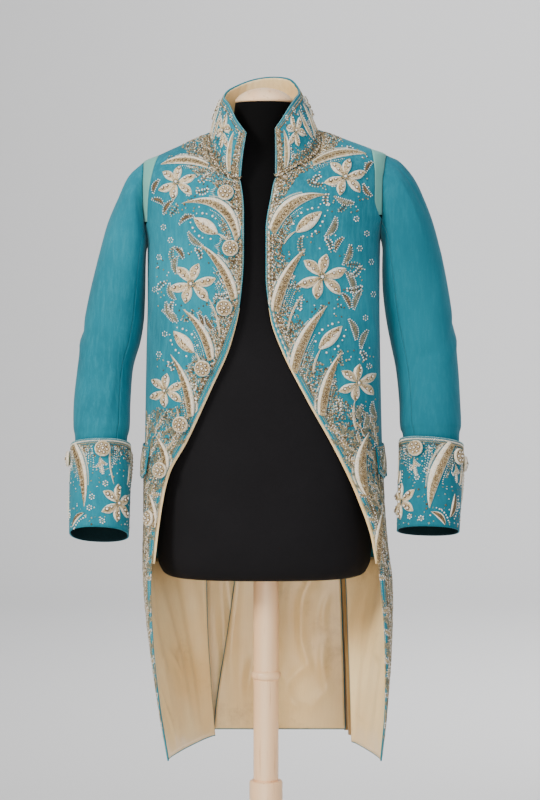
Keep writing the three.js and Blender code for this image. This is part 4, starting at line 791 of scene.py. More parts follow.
def pleat_row(name, z):
    """A zigzag in plan: legs out and back, joined by half-round turns."""
    sign, (way, reach) = SIDES[name], PLEATS[name]
    rear_out, rear_back, back_out, back_back = (read(z) for read in skirt[name])
    start = np.array((sign * (rear_out + 1.5), rear_back + PLEAT_WALL / 2 + 1.5))
    end = np.array((sign * (back_out - 3), back_back + 1.5 + PLEAT_WALL / 2))
    out = np.array(way) / np.hypot(*way)
    legs = PLEAT_FOLDS * 2
    half = np.linalg.norm(end - start) / (legs - 1) / 2
    step = (end - start) / np.linalg.norm(end - start)
    far = column_of(reach, 1)(z)
    row = [start + out * far * share for share in (0, 0.25, 0.5, 0.75)]
    for i in range(legs - 1):
        outwards = i % 2 == 0
        centre = start + (end - start) * i / (legs - 1) + step * half + out * (far if outwards else half)
        heading = out if outwards else -out
        for k in range(PLEAT_TURN + 1):
            angle = math.pi * k / PLEAT_TURN
            row.append(centre - step * half * math.cos(angle) + heading * half * math.sin(angle))
        if i < legs - 2:
            foot = row[-1]
            leg = (far - half) * (-out if outwards else out)
            row += [foot + leg * share for share in (0.25, 0.5, 0.75)]
    row += [end + out * far * share for share in (0.75, 0.5, 0.25, 0)]
    return np.array(row)


pleat_heights = np.linspace(360, 800, 56)
pleat_shell = {}
for name, sign in SIDES.items():
    middle = rows_to_grid([pleat_row(name, z) for z in pleat_heights], pleat_heights)
    normals = grid_normals(middle, sign)
    normals[..., 2] = 0
    outer = middle + normals * PLEAT_WALL / 2
    piece = shell_piece(f"pleats_{name}_wool", outer, PLEAT_WALL, sign, teal_wool,
                        inner=middle - normals * PLEAT_WALL / 2)
    pleat_shell[name] = (piece, outer)
    declare(piece, f"pleats_{name}")

# ---------------------------------------------------------------- sleeves
# Two-piece sleeves of the same wool, bent at the elbow and eased into the armholes. The
# upper piece turns over the outside of the arm, the under one lies against the body.

SLEEVES = {
    # inner line: out and height; outer line: out and height; middle back; half depth; tilt
    "right": (
        (236, 842, 322, 842, -31, 48, 16), (235, 886, 323, 886, -21, 50, 15), (231, 905, 326, 905, -16, 53, 14),
        (230, 950, 326, 948, -5, 54, 12), (226, 1005, 321, 1001, 7, 57, 7), (214, 1048, 312, 1068, 13, 60, 2),
        (208, 1085, 301, 1130, 14, 63, 0), (206, 1120, 286, 1194, 12, 65, 0), (205, 1152, 269, 1256, 9, 66, 0),
        (204.5, 1180, 249, 1302, 6, 63, 0), (203.5, 1203, 231, 1337, 4, 58, 0)),
    "left": (
        (233, 842, 326, 842, -31, 49, 13), (232, 890, 327, 890, -21, 51, 13),
        (227, 908, 330.5, 908, -16, 54, 12),
        (226, 950, 329.5, 950, -5, 56, 10), (221, 1003, 327, 1003, 7, 58, 6), (212, 1048, 321, 1066, 13, 61, 2),
        (204, 1090, 311, 1130, 14, 63, 0), (199, 1130, 297, 1194, 12, 65, 0),
        (197.5, 1160, 278, 1258, 9, 66, 0),
        (197.5, 1182, 254, 1310, 6, 63, 0), (197.5, 1203, 228, 1343, 4, 58, 0)),
}
SLEEVE_FOLDS = {
    # degrees from the outer line round by the front, height, to degrees, height; width; rise
    "right": (
        (-60, 1090, 40, 1040, 9, -2.2), (-40, 1060, 50, 1015, 8, 2.0), (60, 1030, 120, 990, 9, -2.0),
        (10, 1330, 20, 1260, 7, 1.6), (40, 1330, 52, 1250, 7, -1.6), (-30, 1325, -24, 1250, 7, 1.5),
        (110, 1010, 96, 890, 8, 2.0), (-80, 980, -50, 900, 10, 2.0), (20, 1180, 60, 1110, 11, 1.4),
        (-110, 1180, -90, 1080, 11, -1.6)),
    "left": (
        (-50, 1095, 45, 1048, 9, -2.2), (-30, 1062, 60, 1010, 8, 2.0), (66, 1036, 124, 996, 9, -1.8),
        (0, 1340, 8, 1262, 6, 1.9), (26, 1335, 34, 1240, 6, -2.0), (50, 1332, 60, 1225, 6, 1.9),
        (76, 1325, 84, 1230, 6, -1.8), (-40, 1330, -34, 1250, 7, 1.6), (112, 1000, 100, 890, 8, 2.0),
        (-84, 985, -56, 905, 10, 1.8), (16, 1175, 56, 1100, 11, 1.5), (-108, 1170, -92, 1085, 11, -1.5)),
}
SLEEVE_WALL, SLEEVE_ROUNDNESS, HEAD_OUTSET = 1.6, 2.25, 0.5
SLEEVE_CUT = {"upper": (0.28, 0.56, 0.115), "under": (0.15, 0.47, 0.051)}
SLEEVE_SEAMS = (130, 260)        # degrees from the outer line, round by the front


def ring_point(sign, ring, angle, swell=0.0):
    """Points of a ring: angle 0 is its outer line, a quarter turn on is its front."""
    inner_out, inner_z, outer_out, outer_z, middle, half_depth, tilt = ring
    across, forward = superellipse(angle, SLEEVE_ROUNDNESS)
    tilt = np.radians(tilt)
    share = across * (1 + 2 * swell / (outer_out - inner_out))
    depth = forward * (half_depth + swell)
    return np.stack((
        sign * ((inner_out + outer_out) / 2 + share * (outer_out - inner_out) / 2),
        middle - depth * np.cos(tilt),
        (inner_z + outer_z) / 2 + share * (outer_z - inner_z) / 2 + depth * np.sin(tilt)), axis=-1)


def armhole_point(name, angle):
    """Points of the armhole's edge, set just outside it."""
    points = []
    for a in angle:
        z = (ARMPIT + SHOULDER_TIP) / 2 + (SHOULDER_TIP - ARMPIT) / 2 * math.cos(a) * 0.999
        path = torso_row(name, z)[0 if math.sin(a) >= 0 else 1]
        at = front_end(name, z, path) if math.sin(a) >= 0 else back_start(z, path)
        x, y = cut_path(path, at, at, 1)[0]
        points.append((x + SIDES[name] * HEAD_OUTSET, y, z))
    return np.array(points)


def through_rows(rows, steps):
    """Smooth rows through given ones, by a Catmull-Rom curve along each column."""
    rows = np.concatenate((2 * rows[:1] - rows[1:2], rows, 2 * rows[-1:] - rows[-2:-1]))
    made = []
    for i in range(1, len(rows) - 2):
        for t in np.arange(steps) / steps:
            made.append(0.5 * (2 * rows[i] + (rows[i + 1] - rows[i - 1]) * t
                               + (2 * rows[i - 1] - 5 * rows[i] + 4 * rows[i + 1] - rows[i + 2]) * t**2
                               + (3 * rows[i] - rows[i - 1] - 3 * rows[i + 1] + rows[i + 2]) * t**3))
    made.append(rows[-2])
    return np.stack(made)


for name, sign in SIDES.items():
    for part, start, end, columns in (("upper", SLEEVE_SEAMS[1] - 360, SLEEVE_SEAMS[0], 84),
                                      ("under", SLEEVE_SEAMS[0], SLEEVE_SEAMS[1], 48)):
        degrees = np.linspace(start + 0.35, end - 0.35, columns + 1)
        angle = np.radians(degrees)
        rows = [ring_point(sign, ring, angle) for ring in SLEEVES[name]]
        rows.append(armhole_point(name, angle))
        grid = through_rows(np.stack(rows), 8)
        normals = grid_normals(grid, -sign)
        free = np.minimum(1, np.arange(len(grid))[::-1] / 6)[:, None]
        quiet = smooth_share(np.minimum(degrees - start, end - degrees), 1, 12)
        rise = crease(degrees[None, :], grid[..., 2].mean(axis=1)[:, None], SLEEVE_FOLDS[name])
        outer = lean(grid + normals * (rise * free * quiet)[..., None])
        inner = outer - grid_normals(outer, -sign) * SLEEVE_WALL
        inner[-1, :, 0] = outer[-1, :, 0]
        piece = shell_piece(f"sleeve_{part}_{name}_wool", outer, SLEEVE_WALL, -sign, teal_wool, inner=inner)
        declare(piece, f"sleeve_{part}_{name}")
        width, length, area = SLEEVE_CUT[part]

# ---------------------------------------------------------------- cuffs
# Deep closed cuffs of the same wool, stiffened, that stand out round the sleeve ends.

CUFFS = {
    # the same columns as the sleeves' rings, from the lower edge up
    "right": (
        (230, 726, 330, 728, -62, 57, 19), (229.5, 776, 330, 777, -50, 58, 18),
        (229, 828, 329.5, 828, -37, 58, 17),
        (229, 876, 329.5, 874, -25, 57.5, 16)),
    "left": (
        (219.5, 734, 325, 731, -60, 57, 14), (221.5, 780, 328, 778, -49, 58, 14),
        (223.5, 830, 331, 828, -37, 58, 14),
        (225.5, 884, 333.5, 874, -25, 58, 14)),
}
CUFF_FOLDS = ((-70, 10, -50, 140, 16, 1.2), (10, -5, 30, 90, 18, -1.0), (120, 0, 100, 130, 16, 1.1))
CUFF_WALL, CUFF_HEIGHT, CUFF_RADIUS, CUFF_COLUMNS, CUFF_ROWS = 2.4, 150, 54, 120, 30


def cuff_point(name, across, up):
    """Points of a cuff: across from its front line towards +X, and up from its lower edge."""
    sign = SIDES[name]
    rows = [(i * CUFF_HEIGHT / 3,) + ring for i, ring in enumerate(CUFFS[name])]
    ring = [column_of(rows, 1 + column)(up) for column in range(7)]
    return ring_point(sign, ring, np.pi / 2 - sign * across / CUFF_RADIUS)


# Painted shade inside the cuffs: a near-black teal with a fine mottle and no shine, where the hollow of each cuff
# falls dark.
cuff_inside_shade, cuff_shade_shader, where = new_material("cuff_inside_painted_shade")
join(cuff_inside_shade, cuff_shade_shader, {
    "Base Color": tinted(cuff_inside_shade, noise(cuff_inside_shade, where, 480.0, 3.0), "#06181c", "#0e2d34"),
    "Roughness": 0.85, "Specular IOR Level": 0.15})

cuff_cloth = {}
for name, sign in SIDES.items():
    around = 2 * np.pi * CUFF_RADIUS
    across, up = np.meshgrid(np.arange(CUFF_COLUMNS) * around / CUFF_COLUMNS - around / 2,
                             np.linspace(0, CUFF_HEIGHT, CUFF_ROWS + 1))
    grid = cuff_point(name, across, up)
    normals = grid_normals(grid, 1, closed=True)
    soft = crease(across, up, CUFF_FOLDS)
    grid = grid + normals * soft[..., None]
    normals = grid_normals(grid, 1, closed=True)
    piece = shell_piece(f"cuff_{name}_wool", grid, CUFF_WALL, 1, teal_wool, closed=True, normals=normals)
    declare(piece, f"cuff_{name}")
    shade_inner_faces(piece, grid, cuff_inside_shade, closed=True)
    cuff_cloth[name] = {"grid": grid, "normals": normals, "closed": True}

# ---------------------------------------------------------------- collar
# A high stand collar of stiffened wool that rises at the back of the neck, set into the
# neckline and open in front.

COLLAR = (
    # foot and top edge, from the right front edge round to the left one
    (-42, -100, 1323.5, -32, -74, 1399), (-66, -88, 1332, -48, -67, 1421), (-83, -68, 1351, -62, -46, 1450),
    (-93, -46, 1373, -70, -20, 1461), (-95, -20, 1395, -71, 6, 1468), (-88, 8, 1414, -66, 28, 1478),
    (-70, 38, 1419, -48, 47, 1489), (-38, 60, 1423, -24, 58, 1498), (0, 67, 1424.5, 2, 61, 1502),
    (36, 60, 1423, 25, 58, 1501), (62, 38, 1419, 43, 44, 1495), (79, 8, 1414, 54, 24, 1481),
    (88, -20, 1395, 56, 0, 1469), (86, -47, 1370, 50, -28, 1459), (68, -72, 1352, 38, -52, 1441),
    (38, -90, 1336, 26, -65, 1421), (15.5, -99, 1325, 15, -74, 1405),
)
COLLAR_BELLY, COLLAR_WALL, COLLAR_HEIGHT, COLLAR_COLUMNS, COLLAR_ROWS = 3.0, 2.2, 82, 160, 22


def even_curve(points, count):
    """Points along a centripetal Catmull-Rom curve, evenly spaced in its own measure."""
    points = np.array(points, float)
    points = np.concatenate((2 * points[:1] - points[1:2], points, 2 * points[-1:] - points[-2:-1]))
    at = np.linspace(0, len(points) - 3, count + 1)
    k = np.minimum(at.astype(int), len(points) - 4)
    t = (at - k)[:, None]
    p0, p1, p2, p3 = (points[k + j] for j in range(4))
    d0, d1, d2 = (np.linalg.norm(b - a, axis=1, keepdims=True)**0.5
                  for a, b in ((p0, p1), (p1, p2), (p2, p3)))
    m1 = ((p1 - p0) / d0 - (p2 - p0) / (d0 + d1) + (p2 - p1) / d1) * d1
    m2 = ((p2 - p1) / d1 - (p3 - p1) / (d1 + d2) + (p3 - p2) / d2) * d1
    return ((2 * t**3 - 3 * t**2 + 1) * p1 + (t**3 - 2 * t**2 + t) * m1
            + (3 * t**2 - 2 * t**3) * p2 + (t**3 - t**2) * m2)


collar_foot = even_curve([row[:3] for row in COLLAR], COLLAR_COLUMNS)
collar_top = even_curve([row[3:] for row in COLLAR], COLLAR_COLUMNS)
COLLAR_LENGTH = path_lengths(collar_foot)[-1]
collar_up = np.linspace(0, 1, COLLAR_ROWS + 1)[:, None, None]
collar_grid = collar_foot * (1 - collar_up) + collar_top * collar_up
collar_out = collar_grid * (1, 1, 0)
collar_out /= np.linalg.norm(collar_out, axis=2, keepdims=True)
collar_grid = lean(collar_grid + collar_out * (COLLAR_BELLY * 4 * collar_up * (1 - collar_up)))
collar_normals = grid_normals(collar_grid, -1)
collar = shell_piece("collar_wool", collar_grid, COLLAR_WALL, -1, teal_wool, normals=collar_normals)
declare(collar, "collar")

# ---------------------------------------------------------------- satin linings and facings
# Cream silk satin lines the skirts, the collar and the front edges. It is cut with a
# little ease, so it creases, and its edges are felled just inside the wool's.


def satin_lining(name, pale, body, stain):
    """Silk satin, yellowed: long floats down its length, a soft shine, and faint stains."""
    satin, shader, where = new_material(name)
    floats = noise(satin, stretched(satin, where, (1.0, 1.0, 0.05)), 420.0, 4.0, 0.65)
    ripple = put(satin, "ShaderNodeTexNoise", {
        "Vector": stretched(satin, where, (1.0, 1.0, 0.55)), "Scale": 12.0, "Detail": 2.5, "Roughness": 0.4,
        "Distortion": 0.6}, noise_type="RIDGED_MULTIFRACTAL").outputs[0]
    tone = tinted(satin, ranged(satin, noise(satin, where, 5.5, 4.0), 0.32, 0.66), body, pale)
    tone = tinted(satin, ranged(satin, noise(satin, where, 13.0, 6.0, 0.7), 0.58, 0.8, 0.5), tone, stain)
    tone = tinted(satin, ranged(satin, floats, 0.35, 0.75, 0.1), tone, stain)
    fine = bumped(satin, floats, 0.16, 0.0006)
    join(satin, shader, {
        "Base Color": tone, "Roughness": 0.28, "Normal": bumped(satin, ripple, 0.5, 0.009, Normal=fine),
        "Sheen Weight": 0.1, "Anisotropic": 0.4})
    return satin


cream_satin = satin_lining("cream_silk_satin", "#fde6b4", "#edcb8c", "#a8803f")
# The same satin lines the inside of the pleats; this copy is painted darker, as painted shade in the folds.
satin_painted_shade = satin_lining("silk_satin_painted_shade", "#a8874f", "#80633a", "#4a3820")
for name in SIDES:
    shade_inner_faces(*pleat_shell[name], satin_painted_shade)
LINING_WALL, LINING_EASE = 0.8, 0.7
FRONT_LINING_CUT = {"right": (0.25, 0.33, 0.077), "left": (0.22, 0.32, 0.061)}
BACK_LINING_CUT = {"right": (0.135, 0.317, 0.042), "left": (0.23, 0.32, 0.065)}
LINING_TOP, FACING_TOP, FACING_WIDTH = 682, 1112, 56
LINING_FOLDS = {
    # distance from the edge or seam, height, to distance, height; width; how far it stands in
    "front_right": (
        (30, 640, 42, 470, 7, 3.4), (42, 470, 66, 372, 6, 3.0), (80, 620, 76, 400, 12, 3.6),
        (110, 660, 100, 560, 7, 2.6), (120, 520, 150, 470, 6, 2.6), (150, 600, 150, 400, 11, 3.8),
        (190, 640, 180, 380, 9, 3.0), (16, 560, 18, 400, 5, 1.8), (60, 520, 100, 500, 6, 1.8),
        (60, 600, 96, 566, 6, 1.8)),
    "front_left": (
        (60, 640, 66, 420, 12, 3.2), (100, 660, 84, 500, 8, 2.2), (130, 600, 140, 400, 11, 3.4),
        (30, 560, 22, 430, 7, 2.2), (40, 470, 76, 440, 6, 2.0), (24, 640, 60, 610, 6, 1.8),
        (160, 640, 150, 470, 9, 2.6)),
    "back_right": (
        (40, 640, 52, 420, 9, 3.2), (80, 660, 70, 520, 8, 2.6), (100, 520, 116, 390, 8, 3.0),
        (20, 560, 24, 400, 6, 2.2)),
    "back_left": (
        (46, 640, 74, 560, 8, 3.6), (74, 560, 60, 470, 7, 3.4), (60, 480, 108, 430, 7, 3.0),
        (24, 600, 34, 540, 6, 2.6), (34, 520, 30, 430, 8, 3.0), (96, 640, 110, 520, 8, 2.6),
        (112, 470, 84, 400, 7, 2.6), (140, 640, 132, 520, 9, 3.0), (150, 500, 170, 400, 9, 3.2),
        (186, 640, 196, 420, 10, 3.0), (66, 410, 120, 394, 5, 2.0), (20, 440, 60, 398, 6, 2.6),
        (100, 590, 150, 560, 6, 1.8), (60, 660, 100, 640, 5, 1.6)),
}
FACING_PROUD = column_of(
    # height, how far the facing stands out past the free edge
    ((680, 4.6), (760, 5.6), (850, 5.4), (950, 4.2), (1050, 2.4), (1112, 0.5)), 1)


def inner_cloth(node, cloth, low, high, columns, folds, limits):
    """A thin satin that follows the inside of a wool piece between two heights.

    Its limits are read at each height and width of the wool. Past the free edge it goes
    straight on.
    """
    keep = np.flatnonzero((cloth["heights"] > low) & (cloth["heights"] < high))
    heights = cloth["heights"][keep]
    place, way, at = [], [], []
    for points, ways, lengths, z in zip(cloth["grid"][keep], cloth["normals"][keep], cloth["run"][keep],
                                        heights):
        at.append(np.linspace(*limits(z, lengths[-1]), columns + 1))
        spot, out = (np.stack([np.interp(at[-1], lengths, table[:, k]) for k in range(3)], axis=1)
                     for table in (points, ways))
        edge_way = (points[0] - points[2]) / np.linalg.norm(points[0] - points[2])
        place.append(spot + edge_way * np.clip(-at[-1], 0, None)[:, None])
        way.append(out)
    place, way, at = np.stack(place), np.stack(way), np.stack(at)
    rim = np.minimum(at - at[:, :1], at[:, -1:] - at)
    quiet = smooth_share(rim, 0, 9) * smooth_share(heights[:, None], heights[0], heights[0] + 26)
    rise = crease(at, heights[:, None], folds) * quiet
    outer = place - way * (BODY_WALL + LINING_EASE + rise)[..., None]
    piece = shell_piece(f"{node}_satin", outer, LINING_WALL, cloth["sign"], cream_satin)
    declare(piece, node)
    return piece


for name in SIDES:
    width, length, area = FRONT_LINING_CUT[name]
    piece = inner_cloth(f"lining_front_{name}", front_cloth[name], HEM + 1, LINING_TOP, 60,
                        LINING_FOLDS[f"front_{name}"], lambda z, whole: (1.0, whole - 1.4))
    piece = inner_cloth(f"facing_{name}", front_cloth[name], LINING_TOP - 0.1, FACING_TOP, 16, (),
                        lambda z, whole: (-float(FACING_PROUD(z)), FACING_WIDTH))
    width, length, area = BACK_LINING_CUT[name]
    piece = inner_cloth(f"lining_back_{name}", back_cloth[name], BACK_HEM + 1, LINING_TOP, 56,
                        LINING_FOLDS[f"back_{name}"], lambda z, whole: (1.4, whole - 1.4))

lining_points = []
along = np.linspace(0, COLLAR_LENGTH, COLLAR_COLUMNS + 1)
for up in np.linspace(0.12, 0.975, 20):
    k = min(int(up * COLLAR_ROWS), COLLAR_ROWS - 1)
    share = up * COLLAR_ROWS - k
    place, way = (table[k] * (1 - share) + table[k + 1] * share for table in (collar_grid, collar_normals))
    gathers = 0.8 * np.abs(np.sin(along / 4.3 + 1.4 * np.sin(along / 23))) * (0.35 + 0.65 * up)
    lining_points.append((place - way * (COLLAR_WALL + LINING_EASE + gathers)[:, None])[2:-2])
piece = shell_piece("collar_lining_satin", np.stack(lining_points), LINING_WALL, -1, cream_satin)
declare(piece, "collar_lining")

# ---------------------------------------------------------------- pocket flaps
# A scalloped flap of wool over each hip pocket, sewn along its top edge.

FLAP_TOP, FLAP_DEPTH, FLAP_SCALLOP, FLAP_BEFORE, FLAP_BEHIND = 876, 56, 9, 78, 66
FLAP_STAND_OFF, FLAP_FLARE, FLAP_WALL, FLAP_COLUMNS, FLAP_ROWS = 1.2, 3.5, 2.0, 60, 14
flap_cloth = {}
for name, sign in SIDES.items():
    rows = []
    for i in range(FLAP_ROWS + 1):
        row = []
        for j in range(FLAP_COLUMNS + 1):
            across = j / FLAP_COLUMNS
            drop = FLAP_DEPTH - FLAP_SCALLOP * math.cos(3 * math.pi * across)**2
            z = FLAP_TOP - drop * (1 - i / FLAP_ROWS)
            path = front_row(name, z, 60)
            side_at = length_where(path, path[:, 1], side_back(z))
            at = side_at - FLAP_BEFORE + (FLAP_BEFORE + FLAP_BEHIND) * across
            x, y = cut_path(path, at, at, 1)[0]
            row.append((x, y, z))
        rows.append(row)
    grid = lean(np.array(rows))
    normals = grid_normals(grid, sign)
    away = FLAP_STAND_OFF + FLAP_FLARE * (1 - np.arange(FLAP_ROWS + 1) / FLAP_ROWS)
    under = grid + normals * away[:, None, None]
    outer = under + normals * FLAP_WALL
    piece = shell_piece(f"flap_{name}_wool", outer, FLAP_WALL, sign, teal_wool, inner=under)
    declare(piece, f"flap_{name}")
    flap_cloth[name] = {"grid": outer, "normals": grid_normals(outer, sign)}

# ---------------------------------------------------------------- embroidery on the fronts
# Flowers, horns and buds are padded, worked over in cream floss and gilt thread, and
# set off with pearls, glass beads, spangles and short purls, each sewn down on its own.


def thread_finish(name, pale, body, deep, metal, rough, scale, sheen=0.0):
    """Laid threads: fine ridges across each padded shape, with the metal or silk worn unevenly."""
    thread, shader, where = new_material(name)
    speck = noise(thread, where, 620.0)
    tone = tinted(thread, ranged(thread, noise(thread, where, 130.0, 5.0, 0.7), 0.36, 0.64), body, pale)
    ridges = put(thread, "ShaderNodeTexWave", {
        "Vector": put(thread, "ShaderNodeUVMap", uv_map="threads").outputs[0], "Scale": scale,
        "Distortion": 1.2, "Detail": 2.0}, bands_direction="X").outputs[1]
    join(thread, shader, {
        "Base Color": tinted(thread, ranged(thread, speck, 0.5, 0.66, 0.75), tone, deep),
        "Metallic": metal, "Roughness": rough, "Sheen Weight": sheen,
        "Normal": bumped(thread, combined(thread, "ADD", ridges, speck), 0.5, 0.0007)})
    return thread


THREADS = {
    # Silk floss laid in satin stitch: creamy, with a soft gloss.
    "floss": thread_finish("cream_silk_floss", "#fffaf0", "#f4e7ca", "#c6b083", 0.0, 0.4, 0.32, 0.2),
    # Gilt wire and purl over yellow floss, dulled with age to a pinkish beige.
    "gilt": thread_finish("dulled_gilt_thread", "#dac59a", "#a28b61", "#574628", 0.3, 0.4, 0.36),
    # Straw-coloured silk under sparse gilt wire, in the petals.
    "straw": thread_finish("gilt_and_straw_silk", "#f3e1ba", "#cab080", "#73592f", 0.14, 0.36, 0.36, 0.1),
    # The same metal where it has tarnished to brown.
    "dark": thread_finish("tarnished_gilt_thread", "#8a7450", "#5d4b33", "#2d241a", 0.3, 0.5, 0.4),
    # Foiled glass and pearl beads: milky, with a hard small gloss.
    "pearl": thread_finish("milky_glass_beads", "#ffffff", "#f6efe2", "#d8cdb4", 0.0, 0.14, 0.3),
    # Silvered spangles and grey-green foil.
    "foil": thread_finish("silvered_spangles", "#d9ddcc", "#9ba28d", "#4e5747", 0.5, 0.28, 0.3),
    # Olive chenille and silk of the small leaves, faded.
    "olive": thread_finish("faded_olive_silk", "#8f917a", "#666a54", "#373b2f", 0.0, 0.6, 0.4, 0.1),
    # Pale teal silk that whips the cut edges of the wool.
    "whip": thread_finish("pale_teal_whipping", "#c6dfd9", "#8ebdbc", "#4c8f99", 0.0, 0.6, 0.3, 0.1),
}
THREAD_SLOTS = list(THREADS)


def ring_of(count, radius, rise):
    turn = np.arange(count) * 2 * np.pi / count
    return [(radius * math.cos(a), radius * math.sin(a), rise) for a in turn]


STAMPS = {
    # points along, aside and out of a place, and the faces between them
    "bead": (ring_of(5, 1, 0) + ring_of(5, 0.78, 0.62) + [(0, 0, 0.95)],
             [(4, 3, 2, 1, 0)] + [(i, (i + 1) % 5, 5 + (i + 1) % 5, 5 + i) for i in range(5)]
             + [(5 + i, 5 + (i + 1) % 5, 10) for i in range(5)]),
    "grain": (ring_of(4, 1, 0) + [(0, 0, 0.9)], [(3, 2, 1, 0)] + [(i, (i + 1) % 4, 4) for i in range(4)]),
    "stroke": ([(-1, 0, 0), (0, -1, -0.1), (0, 0, 1), (0, 1, -0.1), (1, 0, 0)],
               [(0, 2, 1), (0, 3, 2), (4, 1, 2), (4, 2, 3), (0, 1, 3), (4, 3, 1)]),
}


def on_cloth(cloth, column, row):
    """Points of a cloth and the outward ways there, at fractional columns and rows of its grid."""
    grid, normals = cloth["grid"], cloth["normals"]
    rows, columns = grid.shape[:2]
    row = np.clip(row, 0, rows - 1.001)
    i, t = row.astype(int), (row % 1)[..., None]
    if cloth.get("closed"):
        column = np.mod(column, columns)
    else:
        column = np.clip(column, 0, columns - 1.001)
    j, s = column.astype(int), (column % 1)[..., None]
    k = (j + 1) % columns
    found = []
    for table in (grid, normals):
        low = table[i, j] * (1 - s) + table[i, k] * s
        high = table[i + 1, j] * (1 - s) + table[i + 1, k] * s
        found.append(low * (1 - t) + high * t)
    return found[0], found[1] / np.linalg.norm(found[1], axis=-1, keepdims=True)


def chart(cloth, measure):
    """Finds places of a cloth by a measure that grows along its rows, and by height."""
    heights = cloth["heights"]
    index = np.arange(measure.shape[1])
    measure = np.maximum.accumulate(measure, axis=1) + index * 1e-6

    def place(across, up):
        across, up = np.broadcast_arrays(np.asarray(across, float), np.asarray(up, float))
        shape, across, up = across.shape, across.ravel(), up.ravel()
        row = np.interp(up, heights, np.arange(len(heights)))
        first = np.minimum(row.astype(int), len(heights) - 2)
        column = np.empty_like(across)
        for k in np.unique(first):
            here = first == k
            t = row[here] - k
            column[here] = (np.interp(across[here], measure[k], index) * (1 - t)
                            + np.interp(across[here], measure[k + 1], index) * t)
        point, way = on_cloth(cloth, column, row)
        return point.reshape(shape + (3,)), way.reshape(shape + (3,))
    return place


def stamp(work, kind, thread, point, way, along, size):
    """Adds one small shape at each point; size is its reach along, aside and out."""
    along = along - way * (along * way).sum(axis=1, keepdims=True)
    along = along / np.maximum(np.linalg.norm(along, axis=1, keepdims=True), 1e-9)
    frame = np.stack((along, np.cross(way, along), way), axis=1)
    frame = frame * np.broadcast_to(size, point.shape)[:, :, None]
    points = point[:, None, :] + np.einsum("ks,nsc->nkc", np.array(STAMPS[kind][0], float), frame)
    work.append((points, STAMPS[kind][1], thread, None))


def rounds(work, kind, thread, place, across, up, radius, tall=0.8, lift=0.0):
    """Beads, grains or spangles at places of a cloth."""
    point, way = place(np.ravel(across), np.ravel(up))
    radius = np.broadcast_to(np.asarray(radius, float), (len(point),))[:, None]
    lift = np.broadcast_to(np.asarray(lift, float), (len(point),))[:, None]
    stamp(work, kind, thread, point + way * lift, way, np.tile((0.4, 0.3, 1.0), (len(point), 1)),
          radius * np.array((1, 1, tall)))


def strokes(work, thread, place, start, end, width, tall=0.9, lift=0.0):
    """Short stitches or purls from one place to another."""
    start, end = np.atleast_2d(start), np.atleast_2d(end)
    first, _ = place(start[:, 0], start[:, 1])
    last, _ = place(end[:, 0], end[:, 1])
    middle, way = place((start[:, 0] + end[:, 0]) / 2, (start[:, 1] + end[:, 1]) / 2)
    reach = np.linalg.norm(last - first, axis=1) / 2
    width = np.broadcast_to(np.asarray(width, float), reach.shape)
    flat = np.broadcast_to(np.hypot(*(end - start).T), reach.shape)
    whole = (reach > 0.2) & (reach * 2 < flat * 1.5 + 1.5)
    middle, way, first, last, reach, width = (
        table[whole] for table in (middle, way, first, last, reach, width))
    stamp(work, "stroke", thread, middle + way * lift, way, last - first,
          np.stack((reach, width / 2, width / 2 * tall), axis=1))


def leaf_line(leaf, t):
    """A leaf's middle line, the way aside from it, and its half width, at shares of its length.

    A leaf is across and height where it starts and ends, bow, width, where it is widest, and
    the share of its width that is left at its end.
    """
    x0, z0, x1, z1, bow, width, fat, foot = leaf
    along = np.array((x1 - x0, z1 - z0), float)
    aside = np.array((-along[1], along[0])) / np.hypot(*along)
    swell = np.sin(np.pi / 2 * np.minimum(1, t / fat))**0.8
    after = np.clip((t - fat) / (1 - fat), 0, 1)
    swell = swell * (foot + (1 - foot) * np.cos(np.pi / 2 * after)**0.8)
    middle = np.outer(1 - t, (x0, z0)) + np.outer(t, (x1, z1)) + np.outer(bow * 4 * t * (1 - t), aside)
    return middle, aside, width / 2 * np.maximum(0.07, swell)


def leaf_length(leaf):
    return math.hypot(leaf[2] - leaf[0], leaf[3] - leaf[1])


def padded_rise(share, lift, extra, fullness):
    """How high a padded leaf stands at a share of its half width."""
    dome = (1 - share**2)**0.45 * (1 - 0.3 * np.exp(-(share / 0.5)**4))
    return -PAD_SUNK + (lift + extra) * dome * np.sqrt(fullness)


PAD_SUNK = 0.7
RIM_SHARES = np.array((-1, -0.93, -0.82, -0.66, -0.44, -0.2, 0.04, 0.28, 0.5, 0.7, 0.84, 0.94, 1))
SLIM_SHARES = np.array((-1, -0.82, -0.44, 0.04, 0.5, 0.84, 1))


def padded(work, place, leaf, rim="floss", fill="gilt", lift=3.4, inner=(-0.66, 0.7), steps=16,
           share=RIM_SHARES):
    """A padded leaf: a raised rim of one thread round a lower middle of another."""
    t = np.linspace(0, 1, steps + 1)
    middle, aside, half = leaf_line(leaf, t)
    count = len(share)
    flat = middle[:, None, :] + aside * (half[:, None] * share)[:, :, None]
    point, way = place(flat[..., 0], flat[..., 1])
    rise = padded_rise(share, lift, PAD_SUNK, (half / half.max())[:, None])
    points = point + way * rise[..., None]
    across = np.cross(points[steps // 2, -1] - points[steps // 2, 0],
                      points[-1, count // 2] - points[0, count // 2])
    turned = (across * way[steps // 2, count // 2]).sum() < 0
    uv = np.stack(np.broadcast_arrays((t * leaf_length(leaf))[:, None], half[:, None] * share), axis=-1)
    faces = {rim: [], fill: []}
    for j in range(count):
        after = (j + 1) % count
        thread = fill if inner[0] <= share[j] < inner[1] and j < count - 1 else rim
        for i in range(steps):
            face = (i * count + j, i * count + after, (i + 1) * count + after, (i + 1) * count + j)
            faces[thread].append(face[::-1] if turned else face)
    ends = (tuple(range(count))[::-1], tuple(steps * count + j for j in range(count)))
    faces[rim] += [end[::-1] if turned else end for end in ends]
    work.append((points.reshape(1, -1, 3), faces, None, uv.reshape(-1, 2)))


